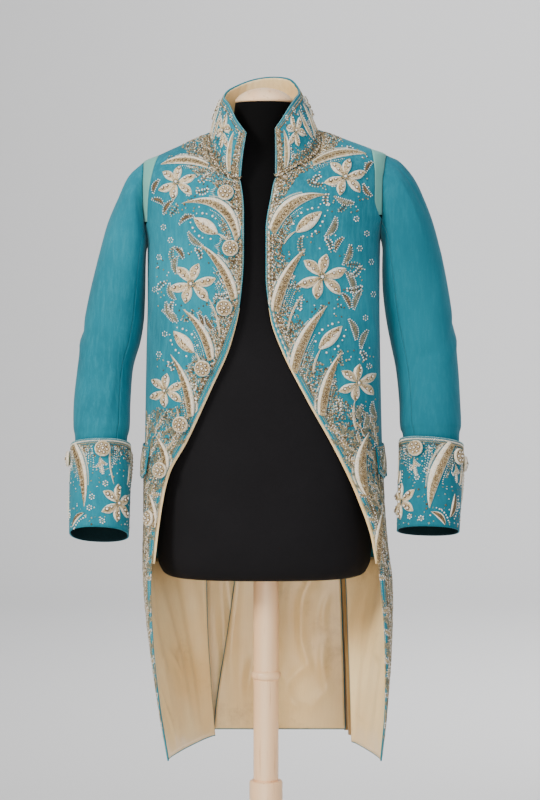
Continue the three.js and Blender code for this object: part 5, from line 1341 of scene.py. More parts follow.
def sew(name, work):
    """Joins what was stitched in one piece of work into one mesh, with a slot for each thread."""
    points, faces, slots, uvs, first = [], [], [], [], 0
    for shape, parts, thread, uv in work:
        many, each = shape.shape[:2]
        points.append(shape.reshape(-1, 3))
        uvs.append(np.zeros((many * each, 2)) if uv is None else uv)
        start = first + np.arange(many) * each
        for key, group in (parts.items() if thread is None else ((thread, parts),)):
            for size in sorted({len(face) for face in group}):
                sized = np.array([face for face in group if len(face) == size])
                whole = (start[:, None, None] + sized).reshape(-1, size)
                faces += whole.tolist()
                slots.append(np.full(len(whole), THREAD_SLOTS.index(key)))
        first += many * each
    piece = mesh_piece(name, np.concatenate(points), faces, THREADS[THREAD_SLOTS[0]], np.concatenate(uvs))
    for thread in THREAD_SLOTS[1:]:
        piece.data.materials.append(THREADS[thread])
    piece.data.polygons.foreach_set("material_index", np.concatenate(slots).astype(np.int32))
    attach(piece, "root")
    return piece


def crumbs(work, place, rng, leaf, lift, span, gap=2.2):
    """Grains of dark and pale metal couched all over the middle of a padded leaf."""
    count = max(6, int(leaf_length(leaf) * leaf[5] * 0.5 / gap**2))
    t, share = rng.uniform(0.12, 0.95, count), rng.uniform(*span, count)
    middle, aside, half = leaf_line(leaf, t)
    spot = middle + aside * (half * share)[:, None]
    rise = padded_rise(share, lift, 0.5, 2 * half / leaf[5])
    pick = rng.uniform(0, 1, count)
    for low, high, thread, size in (
            (0, 0.42, "dark", 1.15), (0.42, 0.72, "gilt", 1.0), (0.72, 1, "pearl", 0.8)):
        here = (pick >= low) & (pick < high)
        rounds(work, "grain", thread, place, *spot[here].T, size, 0.9, rise[here])


thread_rng = np.random.default_rng(1779)


def flower(work, place, x, z, radius, turn, pearl=2.1, dusted=4.2):
    """Six padded petals, each with two ringed pearls, round a clustered middle."""
    for i in range(6):
        angle = turn + i * math.pi / 3
        way = np.array((math.cos(angle), math.sin(angle)))
        reach = radius * (0.95 + 0.07 * math.cos(i * 2.4))
        leaf = (x + way[0] * reach, z + way[1] * reach, x + way[0] * radius * 0.1, z + way[1] * radius * 0.1,
                radius * 0.05 * (-1)**i, radius * 0.43, 0.45, 0.1)
        padded(work, place, leaf, fill="straw", lift=4.4, inner=(-0.7, 0.5) if i % 2 else (-0.5, 0.7))
        crumbs(work, place, thread_rng, leaf, 4.4, (-0.6, 0.4) if i % 2 else (-0.4, 0.6), dusted)
        for share, size in ((0.47, 0.85), (0.71, 1.0)):
            spot = (x + way[0] * radius * share, z + way[1] * radius * share)
            rounds(work, "bead", "dark", place, *spot, pearl * size * 1.8, 0.4, 3.2)
            rounds(work, "bead", "pearl", place, *spot, pearl * size * 1.1, 0.9, 3.9)
    turns = np.arange(7) * 2 * np.pi / 7
    rounds(work, "bead", "gilt", place, x + radius * 0.12 * np.cos(turns), z + radius * 0.12 * np.sin(turns),
           radius * 0.055, 1.1, 3.2)
    rounds(work, "bead", "pearl", place, x, z, radius * 0.08, 1.0, 3.6)


def beads_along(work, place, leaf, offset, gap, radius, thread="pearl", span=(0.03, 0.97), kind="bead"):
    """A string of beads beside a leaf's middle line."""
    length = leaf_length(leaf) * (span[1] - span[0])
    t = np.linspace(*span, max(2, int(length / gap) + 1))
    middle, aside, _ = leaf_line(leaf, t)
    spot = middle + aside * offset
    size = radius * (0.85 + 0.3 * (np.arange(len(t)) % 2))
    rounds(work, kind, thread, place, *spot.T, size, 1.0)


def horn(work, place, leaf, strings=4):
    """A padded horn: floss outside, gilt within, coils down the middle, purls and bead strings."""
    outside = 1 if leaf[4] > 0 else -1
    padded(work, place, leaf, lift=4.6, inner=(-0.84, 0.28) if outside > 0 else (-0.44, 0.84), steps=26)
    length = leaf_length(leaf)
    crumbs(work, place, thread_rng, leaf, 4.6, (-0.78, 0.3) if outside > 0 else (-0.3, 0.78))
    t = np.linspace(0.2, 0.94, max(5, int(length / 7.5)))
    middle, aside, half = leaf_line(leaf, t)
    spot = middle - aside * (half * 0.25 * outside)[:, None]
    size = half / half.max()
    rounds(work, "bead", "dark", place, *spot.T, 2.6 * size, 0.5, 3.8 * size)
    rounds(work, "bead", "gilt", place, *spot.T, 1.3 * size, 1.0, 4.4 * size)
    t = np.linspace(0.3, 0.98, max(8, int(length / 2.0)))
    middle, aside, half = leaf_line(leaf, t)
    foot = middle + aside * (half * 1.02 * outside)[:, None]
    tall = (2.0 + 7.0 * t**2)[:, None]
    sweep = (middle[:-1] - middle[1:]).mean(axis=0)
    head = foot + aside * outside * tall + sweep / np.hypot(*sweep) * tall * 0.7
    strokes(work, "floss", place, foot, head, 1.2)
    for k in range(strings):
        beads_along(work, place, leaf, -outside * (leaf[5] * 0.5 + 3 + 3.4 * k), 3.2, 1.2,
                    ("pearl", "foil", "gilt")[k % 3], (0.42 + 0.07 * k, 1.0 - 0.01 * k), "grain")


BUD_ARC = 8.0


def bud(work, place, leaf):
    """A padded bud, half floss and half gilt, inside an arc of separate beads."""
    padded(work, place, leaf, fill="straw", lift=4.6, inner=(-0.82, 0.04))
    crumbs(work, place, thread_rng, leaf, 4.6, (-0.75, 0.0), 2.4)
    middle, aside, half = leaf_line(leaf, np.array((0.2, 0.42, 0.62)))
    rounds(work, "bead", "dark", place, *middle.T, (1.7, 2.6, 1.7), 0.4, 4.2)
    rounds(work, "bead", "pearl", place, *middle[1], 1.6, 1.0, 4.6)
    for side in (-1, 1):
        t = np.array((0.0, 0.17, 0.3, 0.52, 0.66, 0.92))
        middle, aside, half = leaf_line(leaf, t)
        spot = middle + aside * ((half + BUD_ARC) * side)[:, None]
        rounds(work, "bead", "pearl", place, *spot.T, (1.5, 2.3, 1.6, 2.4, 1.7, 2.1), 0.9)


def sprig(work, place, leaf, fill="dark", outline="pearl", lift=1.9):
    """A slim curved leaf outlined in small beads."""
    padded(work, place, leaf, rim=fill, fill=fill, lift=lift, steps=7, share=SLIM_SHARES)
    length = leaf_length(leaf)
    if length > 22:
        crumbs(work, place, thread_rng, leaf, lift, (-0.5, 0.5), 2.6)
    t = np.linspace(0.0, 0.98, max(5, int(length / 2.9)))
    middle, aside, half = leaf_line(leaf, t)
    for side in (-1, 1):
        spot = middle + aside * ((half + 1.1) * side)[:, None]
        rounds(work, "grain", outline, place, *spot.T, 1.6, 1.0)


def frond(work, place, leaf, purl, tip):
    """A curved stem of dark purls, with a slanting purl and a bead at each side of every stitch."""
    length = leaf_length(leaf)
    middle, aside, half = leaf_line(leaf, np.linspace(0.04, 1, max(4, int(length / 4.3) + 1)))
    ahead = middle[:-1] - middle[1:]
    strokes(work, "dark", place, middle[1:] - ahead * 0.2, middle[:-1] + ahead * 0.2, 2.4)
    ahead = ahead / np.hypot(ahead[:, :1], ahead[:, 1:])
    for side in (-1, 1):
        head = middle[1:] + aside * ((half[1:] + 1.6) * side)[:, None] + ahead * 2.4
        strokes(work, purl, place, middle[1:], head, 1.8)
        rounds(work, "bead", tip, place, *head.T, 1.75, 0.9)
    rounds(work, "bead", tip, place, *middle[0], 1.9, 0.9)


SIDE_LIMIT, STRIP_LIMIT, STRIP_FROM = 184, 171, 1250    # how far out work may reach, and its height
FRONDS, LOOSE_BEADS = 9, 90
LOOSE_KINDS = (("bead", "pearl", 1.4), ("grain", "dark", 2.0), ("bead", "foil", 1.7), ("grain", "gilt", 2.0))


def fronds_round(work, place, x, z, radius):
    """Fronds that stand out round a flower, with loose beads and spangles among them."""
    turns = thread_rng.uniform(0, 2 * np.pi, LOOSE_BEADS)
    far = radius * thread_rng.uniform(1.0, 1.75, LOOSE_BEADS)
    across, up = x + far * np.cos(turns), z + far * np.sin(turns)
    limit = SIDE_LIMIT if z < STRIP_FROM else STRIP_LIMIT
    for first, (kind, thread, size) in enumerate(LOOSE_KINDS):
        here = (np.abs(across) < limit) & (np.arange(LOOSE_BEADS) % 4 == first)
        rounds(work, kind, thread, place, across[here], up[here], size, 0.8)
    for k in range(FRONDS):
        angle = k * 2 * math.pi / FRONDS + 0.3 * math.sin(k * 5.0)
        near, far = radius * 1.08, radius * (1.62 + 0.16 * math.sin(k * 2.7))
        way, off = np.array((math.cos(angle), math.sin(angle))), 0.25 * (-1)**k
        tip = np.array((math.cos(angle + off), math.sin(angle + off))) * far
        if abs(x + tip[0]) > limit:
            continue
        leaf = (x + tip[0], z + tip[1], x + way[0] * near, z + way[1] * near, 4.0 * (-1)**k, 4.6, 0.6, 0.2)
        frond(work, place, leaf, "dark" if k % 3 else "gilt", "foil" if k % 2 else "pearl")


def floret(work, place, x, z, radius=3.9, bead=1.5):
    """Six pearls round a gilt bead."""
    turns = np.arange(6) * 2 * np.pi / 6 + x
    rounds(work, "bead", "pearl", place, x + radius * np.cos(turns), z + radius * np.sin(turns), bead, 0.7)
    rounds(work, "bead", "gilt", place, x, z, bead * 0.9, 0.9)


def fan(work, place, x, z, inner, outer, start, end, thread="gilt", gap=2.1, width=1.3):
    """Purls that stand out round a place like the teeth of a comb."""
    turns = np.arange(math.radians(start), math.radians(end), gap / inner)
    way = np.column_stack((np.cos(turns), np.sin(turns)))
    ragged = 1 + 0.12 * np.sin(turns * 9.0)
    strokes(work, thread, place, way * inner + (x, z), way * (outer * ragged)[:, None] + (x, z), width)


def spray(work, place, x, z, angle, size, sign=1, fills=("olive", "gilt", "olive")):
    """A small stem with three slim leaves and a floret."""
    way = np.array((math.cos(angle), math.sin(angle)))
    side = np.array((-way[1], way[0]))
    start = np.array((x, z))
    tip = start + way * size
    padded(work, place, (*tip, *start, 2 * sign, 2.2, 0.5, 0.6), rim="floss", fill="gilt", lift=1.6, steps=6,
           share=SLIM_SHARES)
    for (share, turn, reach), fill in zip(((0.3, 0.75, 0.74), (0.5, -0.7, 0.72), (1.0, 0.12, 0.72)), fills):
        foot = start + way * size * share
        head = foot + (way * math.cos(turn) + side * sign * math.sin(turn)) * size * reach
        sprig(work, place, (*head, *foot, 3.0 * turn, size * 0.19, 0.5, 0.1), fill,
              "gilt" if fill == "olive" else "pearl")


def scatter(work, place, rng, across, up, kept, dark=0.3, along=0.7):
    """Grains, spangles and short purls at many places, wherever no larger motif lies.

    dark is the share of tarnished work, and along the way in which most purls lie.
    """
    clear = np.ones(len(up), bool)
    for (x, z), reach in kept:
        clear &= (across - x)**2 + (up - z)**2 > reach**2
    across, up = across[clear], up[clear]
    pick = rng.uniform(0, 1, len(up))
    gilt, tarnish, pearl = 0.14, 0.14 + dark * 0.5, 0.34 + dark * 0.2
    rest = 0.46 + dark * 0.2
    floss, last = rest + (1 - rest) * 0.45, 1 - dark * 0.35
    for low, high, thread, size, tall in (
            (0.0, gilt, "gilt", 1.6, 0.8), (gilt, tarnish, "dark", 2.0, 0.5),
            (tarnish, pearl, "pearl", 1.5, 0.9),
            (pearl, rest, "foil", 1.9, 0.4)):
        here = (pick >= low) & (pick < high)
        rounds(work, "grain", thread, place, across[here], up[here],
               size * rng.uniform(0.75, 1.25, here.sum()), tall)
    for low, high, thread in ((rest, floss, "gilt"), (floss, last, "floss"), (last, 1.0, "dark")):
        here = (pick >= low) & (pick < high)
        slope = along + 0.8 * np.sin(up[here] / 17.0 + across[here] / 29.0) + rng.uniform(-0.3, 0.3, here.sum())
        reach = rng.uniform(2.6, 5.2, here.sum())
        step = np.column_stack((np.cos(slope) * reach, np.sin(slope) * reach))
        middle = np.column_stack((across[here], up[here]))
        strokes(work, thread, place, middle - step / 2, middle + step / 2, 1.8)


def stitch_rows(work, place, line, step, rows, base=0.0, inward=1, level=False, tall=0.9):
    """Rows of stitches beside an edge: how far in each stitch starts and ends, thread and width."""
    for near, far, thread, width in rows:
        ends = ((base + inward * near + 0 * line, line), (base + inward * far + 0 * line, line + step))
        if level:
            ends = (end[::-1] for end in ends)
        strokes(work, thread, place, *(np.column_stack(end) for end in ends), width, tall)


def cleared(leaves, margin=1.2):
    """The ground that leaves cover, as discs."""
    kept = []
    for leaf in leaves:
        middle, _, half = leaf_line(leaf, np.linspace(0.04, 0.96, 14))
        kept += [(tuple(spot), reach + margin) for spot, reach in zip(middle, half)]
    return kept


FRONT_FLOWERS = {
    # across, height, radius, turn
    "right": ((-148, 1319, 33, 0.35), (-122, 1149, 40, 0.2), (-166, 970, 32, 0.45)),
    "left": ((131, 1320, 36, 0.25), (92, 1157, 42, 0.3), (152, 983, 35, 0.4)),
}
FRONT_HORNS = {
    # from the tip's across and height to the foot's, bow, width, where it is widest, width of the foot
    "right": (
        (-176, 1352, -96, 1346, 9, 15, 0.55, 0.6), (-139, 1284, -46, 1222, 30, 21, 0.7, 0.75),
        (-110, 1216, -52, 1122, 11, 18, 0.75, 0.75), (-137, 1106, -90, 1022, 10, 17, 0.75, 0.7),
        (-158, 1030, -124, 928, 9, 16, 0.75, 0.7), (-184, 895, -166, 838, 6, 13, 0.7, 0.6),
        (-196, 800, -186, 742, 4, 11, 0.7, 0.6)),
    "left": (
        (168, 1360, 78, 1344, -9, 15, 0.55, 0.6), (100, 1291, 10, 1232, -20, 23, 0.7, 0.75),
        (65, 1203, 15, 1102, -9, 20, 0.75, 0.75), (101, 1110, 45, 1002, -10, 21, 0.75, 0.7),
        (126, 1036, 92, 930, -8, 18, 0.75, 0.7), (172, 900, 168, 796, -13, 21, 0.62, 0.3),
        (196, 770, 186, 660, -5, 14, 0.6, 0.4)),
}
FRONT_BUDS = {
    "right": ((-119, 1259, -80, 1232, 0, 23, 0.55, 0.15), (-153, 1069, -119, 1034, 0, 22, 0.55, 0.15)),
    "left": ((92, 1263, 50, 1231, 0, 23, 0.55, 0.15), (126, 1077, 88, 1040, 0, 22, 0.55, 0.15)),
}
FRONT_STEMS = {
    # from across and height to across and height, bow
    "right": ((-97, 1128, -76, 1060, 5), (-82, 1232, -62, 1216, 3), (-119, 1036, -108, 1010, 3),
              (-148, 944, -150, 905, 4)),
    "left": ((62, 1130, 36, 1070, -5), (52, 1233, 30, 1212, -3), (92, 1042, 78, 1000, -3),
             (148, 955, 150, 905, -4)),
}
FRONT_SPRIGS = {
    "right": (
        (-128, 1236, -104, 1212, -4, 7, 0.5, 0.1), (-146, 1196, -148, 1166, -5, 7, 0.5, 0.1),
        (-160, 1150, -150, 1122, -4, 7, 0.5, 0.1), (-172, 1104, -146, 1084, 3, 8, 0.5, 0.1),
        (-143, 1250, -118, 1262, 5, 6, 0.5, 0.1), (-166, 1118, -152, 1084, -3, 7, 0.5, 0.1),
        (-152, 1212, -136, 1192, 3, 6, 0.5, 0.1), (-190, 1294, -170, 1284, 3, 6, 0.5, 0.1),
        (-188, 1304, -178, 1326, 3, 6, 0.5, 0.1), (-170, 1268, -154, 1290, 3, 6, 0.5, 0.1),
        (-100, 1094, -84, 1070, -3, 6, 0.5, 0.1), (-112, 1100, -104, 1072, 3, 5, 0.5, 0.1)),
    "left": (
        (98, 1222, 116, 1254, -5, 9, 0.5, 0.1), (128, 1176, 140, 1208, -4, 8, 0.5, 0.1),
        (132, 1166, 146, 1126, 5, 8, 0.5, 0.1), (138, 1088, 150, 1054, 4, 8, 0.5, 0.1),
        (116, 1286, 146, 1276, -3, 7, 0.5, 0.1), (146, 1104, 158, 1134, 3, 7, 0.5, 0.1),
        (126, 1130, 140, 1106, 3, 6, 0.5, 0.1), (64, 1150, 48, 1140, 1, 6, 0.5, 0.1),
        (114, 1198, 128, 1220, 3, 6, 0.5, 0.1), (162, 1308, 176, 1288, -3, 6, 0.5, 0.1),
        (166, 1328, 178, 1346, 3, 6, 0.5, 0.1), (158, 1040, 170, 1070, 3, 7, 0.5, 0.1),
        (168, 932, 164, 908, 3, 8, 0.5, 0.1), (160, 946, 146, 924, 3, 8, 0.5, 0.1),
        (178, 950, 184, 924, -3, 7, 0.5, 0.1)),
}
FRONT_FLORETS = {
    "right": ((-170, 1246), (-158, 1224), (-178, 1196), (-168, 1064), (-178, 1030), (-128, 1300), (-186, 1140)),
    "left": ((150, 1250), (168, 1226), (156, 1202), (176, 1180), (166, 1090), (112, 1308), (180, 1128),
             (172, 1010)),
}
EDGE_BAND = {
    # height, how wide the scattered work beside the free edge and the neckline is
    "right": ((355, 62), (500, 72), (700, 92), (860, 104), (950, 84), (1000, 50), (1060, 36), (1120, 30),
              (1200, 26), (1300, 34), (1325, 42), (1403, 56)),
    "left": ((355, 56), (500, 68), (700, 88), (860, 98), (950, 78), (1000, 52), (1060, 42), (1120, 36),
             (1200, 34), (1300, 30), (1325, 26), (1403, 44)),
}
EDGE_BARE, EDGE_BARE_ABOVE, EDGE_END, HIP_TOP = 6.0, 2.4, 1400, 900
FRONT_SCATTER = 13000
front_rng = np.random.default_rng(1780)
FRONT_BUTTONS = ((-66, 1298), (-58, 1207), (-68, 1108), (-104, 1008), (-141, 915), (-175, 838), (-193, 757))



def edge_bare(z, more=0.0, more_above=0.0):
    """The width of wool left bare along the free edge, which is less above the waist."""
    return np.interp(z, (1050, 1120), (EDGE_BARE + more, EDGE_BARE_ABOVE + more_above))


front_place = {}
for name, sign in SIDES.items():
    cloth = front_cloth[name]
    by_x = chart(cloth, np.abs(cloth["grid"][..., 0]))
    by_edge = chart(cloth, cloth["run"])

    def place(x, z, by_x=by_x):
        return by_x(np.abs(x), z)

    front_place[name] = place
    work, kept = [], []
    for x, z, radius, turn in FRONT_FLOWERS[name]:
        flower(work, place, x, z, radius, turn)
        fronds_round(work, place, x, z, radius)
        kept.append(((x, z), radius * 0.95))
    for leaf in FRONT_HORNS[name]:
        horn(work, place, leaf, strings=6 if 950 < leaf[3] < 1300 else 2)
    for leaf in FRONT_BUDS[name]:
        bud(work, place, leaf)
    for stem in FRONT_STEMS[name]:
        padded(work, place, (*stem, 3.4, 0.5, 0.7), lift=2.2, inner=(-0.44, 0.28), steps=12)
    for leaf in FRONT_SPRIGS[name]:
        sprig(work, place, leaf, fill="olive" if leaf[5] > 6 else "dark")
    for x, z in FRONT_FLORETS[name]:
        floret(work, place, x, z)
    kept += cleared(FRONT_HORNS[name] + FRONT_BUDS[name])
    if name == "right":
        kept += [(spot, 15.0) for spot in FRONT_BUTTONS]
        for x, z in FRONT_BUTTONS:
            fan(work, place, x, z, 17.5, 25, 95, 265, "floss" if z > 1000 else "gilt")
            fan(work, place, x, z, 16.0, 19.5, -60, 300, "dark", 3.2, 2.0)
    sew(f"embroidery_front_{name}", work)

    # the whipped edge, the purl lines and the rope beside it, and the scattered work inside them
    work = []
    line = np.arange(HEM + 6, EDGE_END, 3.0)
    stitch_rows(work, by_edge, line, 3.8, ((0.9, 1.3, "whip", 1.2),))
    stitch_rows(work, by_edge, line, 3.8,
                ((0, 0.4, "gilt", 1.6), (1.8, 5.6, "gilt", 1.8), (5.8, 2.4, "dark", 1.5)),
                edge_bare(line))
    spots = np.arange(HEM + 8, EDGE_END - 2, 6.4)
    rounds(work, "bead", "dark", by_edge, edge_bare(spots) + 9, spots, 2.4, 0.35)
    rounds(work, "bead", "pearl", by_edge, edge_bare(spots) + 9, spots, 1.4, 1.0, 0.4)
    if name == "left":
        stitch_rows(work, by_edge, np.arange(1010, 1300, 9.0), 9, ((5.4, 5.4, "floss", 4.2),))
    band = column_of(EDGE_BAND[name], 1)
    z = np.interp(front_rng.uniform(0, 1, FRONT_SCATTER), (0, 0.6, 0.86, 1), (HEM + 5, 960, 1300, EDGE_END + 1))
    depth = front_rng.uniform(0, 1, FRONT_SCATTER)**1.7
    bare = edge_bare(z, 6, 2)
    run = bare + depth * (band(z) - bare + 2) * (1 + 0.3 * np.sin(z / 13.0))
    spot, _ = by_edge(run, z)
    flat = np.abs(spot[:, 0]) * sign
    keep = np.ones(len(z), bool)
    for (x, at), reach in kept:
        keep &= (flat - x)**2 + (z - at)**2 > reach**2
    scatter(work, by_edge, front_rng, run[keep], z[keep], (), 0.5, math.pi / 2)
    for i, z in enumerate(np.arange(380, HIP_TOP, 24.0)):
        reach = float(band(z))
        for share, turn in ((0.3, 2.2), (0.62, 1.7), (0.92, 1.3)):
            x = reach * share + 7 * math.sin(i * 1.9 + share * 7)
            spray(work, by_edge, x, z + 14 * share, math.pi / 2 + turn - 1.6 + 0.4 * math.sin(i * 2.3),
                  27, (-1)**i)
        if i % 2:
            floret(work, by_edge, reach * 0.95, z)
    sew(f"border_front_{name}", work)

# ---------------------------------------------------------------- buttons
# Domed moulds worked over with gilt thread: seven down the right front, three on each
# cuff. A ring of pearls stands round a larger one, inside a rim of cream floss.

BUTTON_PROFILE = ((0.01, 0), (9.7, 0), (13.0, 1.6), (13.5, 3.2), (12.9, 5.2), (11.8, 6.2), (10.6, 6.3),
                  (9.8, 5.6),
                  (7.2, 6.5), (4.0, 7.9), (0.01, 8.5))
BUTTON_SIDES, BUTTON_REST = 40, 0.5
CUFF_BUTTONS = {"right": ((6, 130), (-80, 124), (-150, 124)), "left": ((-27, 130), (46, 122), (86, 117))}


def cuff_place(name):
    """Finds places of a cuff by their distance from its front line and from its lower edge."""
    def place(across, up):
        across, up = np.broadcast_arrays(np.asarray(across, float), np.asarray(up, float))
        around = 2 * np.pi * CUFF_RADIUS
        return on_cloth(cuff_cloth[name], (across / around + 0.5) * CUFF_COLUMNS, up / CUFF_HEIGHT * CUFF_ROWS)
    return place


def button(node, place, across, up):
    (point,), (way,) = place(np.array([across]), np.array([up]))
    base = point + way * BUTTON_REST
    side = np.cross((0, 0, 1), way)
    side = side / np.linalg.norm(side)
    rise = np.cross(way, side)
    top = np.array(BUTTON_PROFILE[3:])[::-1]

    def dome(u, v):
        u, v = np.broadcast_arrays(np.asarray(u, float), np.asarray(v, float))
        reach = np.hypot(u, v)
        height = np.interp(reach, top[:, 0], top[:, 1])
        spot = base + u[..., None] * side + v[..., None] * rise + height[..., None] * way
        out = way * 1.6 + (u[..., None] * side + v[..., None] * rise) / BUTTON_PROFILE[3][0]
        return spot, out / np.linalg.norm(out, axis=-1, keepdims=True)

    turn = np.arange(BUTTON_SIDES) * 2 * np.pi / BUTTON_SIDES
    lobes = 1 + 0.012 * np.cos(turn * 10)
    rings = [base + (np.cos(turn) * r * lobes)[:, None] * side + (np.sin(turn) * r * lobes)[:,
                                                                                            None] * rise + way * h
             for r, h in BUTTON_PROFILE]
    faces = loft_faces(len(rings), BUTTON_SIDES)
    uv = np.stack(np.meshgrid(np.arange(BUTTON_SIDES) * 2.0, [r * 0.3 for r, _ in BUTTON_PROFILE]), axis=-1)
    rim = faces[BUTTON_SIDES * 2:BUTTON_SIDES * 5]
    others = faces[:BUTTON_SIDES * 2] + faces[BUTTON_SIDES * 5:]
    work = [(np.concatenate(rings)[None], {"floss": rim, "straw": others}, None, uv.reshape(-1, 2))]
    ring = np.arange(6) * math.pi / 3 + across
    rounds(work, "bead", "dark", dome, 7.1 * np.cos(ring), 7.1 * np.sin(ring), 3.5, 0.3, -0.1)
    rounds(work, "bead", "pearl", dome, 7.1 * np.cos(ring), 7.1 * np.sin(ring), 2.0, 0.9, 0.4)
    rounds(work, "bead", "dark", dome, 0, 0, 3.8, 0.3, -0.1)
    rounds(work, "bead", "pearl", dome, 0, 0, 2.3, 0.8, 0.3)
    fan(work, dome, 0, 0, 9.8, 11.6, 0, 358, "gilt", 1.7, 1.5)
    piece = sew(f"{node}_worked", work)
    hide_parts(node)


for i, (x, z) in enumerate(FRONT_BUTTONS):
    button(f"front_button_{i + 1}", front_place["right"], x, z)
for name in SIDES:
    for i, (x, z) in enumerate(CUFF_BUTTONS[name]):
        button(f"cuff_button_{name}_{i + 1}", cuff_place(name), x, z)

# ---------------------------------------------------------------- embroidery on the cuffs
# Three horns hang from a cream band along each cuff's upper edge, over a flower, a leaf
# and scattered spangles.

CUFF_FLOWERS = {"right": (37, 42, 35), "left": (-60, 46, 36)}
CUFF_HORNS = {
    # from the tip to the foot, as on the fronts
    "right": ((-22, 34, -50, 142, -9, 20, 0.72, 0.75), (-136, 44, -122, 140, 6, 18, 0.72, 0.7),
              (116, 44, 94, 140, -5, 18, 0.72, 0.7)),
    "left": ((-2, 32, 30, 142, 9, 21, 0.72, 0.75), (86, 44, 106, 140, 5, 18, 0.72, 0.7),
             (-130, 44, -118, 140, 5, 18, 0.72, 0.7)),
}
CUFF_LEAVES = {
    "right": ((-22, 24, -52, 4, -4, 10, 0.5, 0.15), (-84, 66, -88, 22, 4, 12, 0.5, 0.15),
              (72, 112, 64, 76, 3, 7, 0.5, 0.15), (-96, 108, -100, 76, 3, 7, 0.5, 0.15)),
    "left": ((0, 26, 24, 4, 4, 11, 0.5, 0.15), (43, 60, 34, 18, 4, 13, 0.5, 0.15),
             (-66, 100, -72, 78, 3, 8, 0.5, 0.15), (62, 104, 58, 74, 3, 7, 0.5, 0.15)),
}
CUFF_FLORETS = {
    "right": ((12, 72), (-8, 50), (-12, 32), (-64, 108), (-66, 26), (72, 30), (90, 14), (-104, 56),
              (-112, 20), (8, 10)),
    "left": ((-24, 84), (-36, 18), (-14, 14), (60, 42), (66, 88), (-88, 84), (-98, 20), (74, 18),
             (-36, 100), (-8, 94)),
}
cuff_rng = np.random.default_rng(1781)
for name in SIDES:
    place = cuff_place(name)
    around = 2 * np.pi * CUFF_RADIUS
    work = []
    x, z, radius = CUFF_FLOWERS[name]
    flower(work, place, x, z, radius, 0.5, 2.5, 9.0)
    for leaf in CUFF_HORNS[name]:
        horn(work, place, leaf, strings=4)
    for leaf in CUFF_LEAVES[name]:
        padded(work, place, leaf, lift=2.8, fill="dark" if leaf[5] > 9 else "gilt", inner=(-0.66, 0.5))
        beads_along(work, place, leaf, leaf[5] * 0.5 + 4, 4.6, 1.5)
    for spot in CUFF_FLORETS[name]:
        floret(work, place, *spot)
    padded(work, place, (x - 8, z + radius * 0.8, x - 18, 128, 4, 3.4, 0.5, 0.7), lift=2.0, inner=(-0.44, 0.28))
    kept = [((x, z), radius)] + cleared(CUFF_HORNS[name] + CUFF_LEAVES[name])
    for x, z in CUFF_BUTTONS[name]:
        kept.append(((x, z), 15.0))
        spray(work, place, x - 3, z - 14, -math.pi / 2 + 0.1, 17, 1, ("straw", "straw", "floss"))
        for k in range(8):
            side, far = (-1)**k, k // 2
            strand = (x + side * (17 + 4 * far), 136, x + side * (13 + 4.5 * far), 92 + 6 * far, 2, 1, 0.5, 1)
            beads_along(work, place, strand, 0, 3.9, 1.45, "pearl" if k % 3 else "foil", kind="grain")
    stitch_rows(work, place, np.arange(0, around, 2.4), 2.8, (
        (148.6, 148.9, "whip", 1.8), (143, 147.4, "floss", 2.6), (139.5, 143, "gilt", 2.4),
        (137.5, 138, "dark", 1.8)), level=True, tall=1.1)
    across = cuff_rng.uniform(0, around, 900)
    up = 138 - 22 * cuff_rng.uniform(0, 1, 900)**1.5
    wrapped = np.where(across > around / 2, across - around, across)
    scatter(work, place, cuff_rng, wrapped, up, kept, 0.35)
    across = cuff_rng.uniform(-around / 2, around / 2, 420)
    scatter(work, place, cuff_rng, across, cuff_rng.uniform(4, 134, 420), kept, 0.2)
    sew(f"embroidery_cuff_{name}", work)

# ---------------------------------------------------------------- embroidery on the collar
# The collar has a flower and a horn on each side, and dense gilt work along its front
# edges and its seam.

collar_cloth = {
    "grid": collar_grid, "normals": collar_normals, "heights": np.linspace(0, COLLAR_HEIGHT, COLLAR_ROWS + 1)}
collar_run = np.tile(np.linspace(0, COLLAR_LENGTH, COLLAR_COLUMNS + 1), (COLLAR_ROWS + 1, 1))
collar_chart = chart(collar_cloth, collar_run)
COLLAR_FLOWERS = ((63, 47, 26), (158, 46, 24), (228, 46, 22))
COLLAR_LEAVES = (
    # from the tip to the foot, as on the fronts, from the front edge round to the middle of the back
    (35, 64, 28, 4, 4, 15, 0.62, 0.5), (94, 66, 100, 18, -4, 9, 0.5, 0.2), (120, 68, 110, 14, 4, 10, 0.5, 0.3),
    (134, 40, 130, 12, -3, 7, 0.5, 0.2), (182, 66, 190, 16, 4, 10, 0.5, 0.3),
    (206, 64, 204, 26, -3, 7, 0.5, 0.2))
COLLAR_FLORETS = ((46, 16), (84, 16), (52, 74), (106, 40), (138, 66), (180, 24), (176, 66), (204, 16),
                  (222, 16),
                  (80, 72))
COLLAR_LINES = (
    # how far in a stitch starts and ends, thread, width
    (0.8, 1.0, "whip", 1.1), (5.4, 5.8, "gilt", 2.2), (8.0, 11.5, "gilt", 2.0), (12.0, 9.0, "dark", 1.5))
collar_rng = np.random.default_rng(1782)
work = []
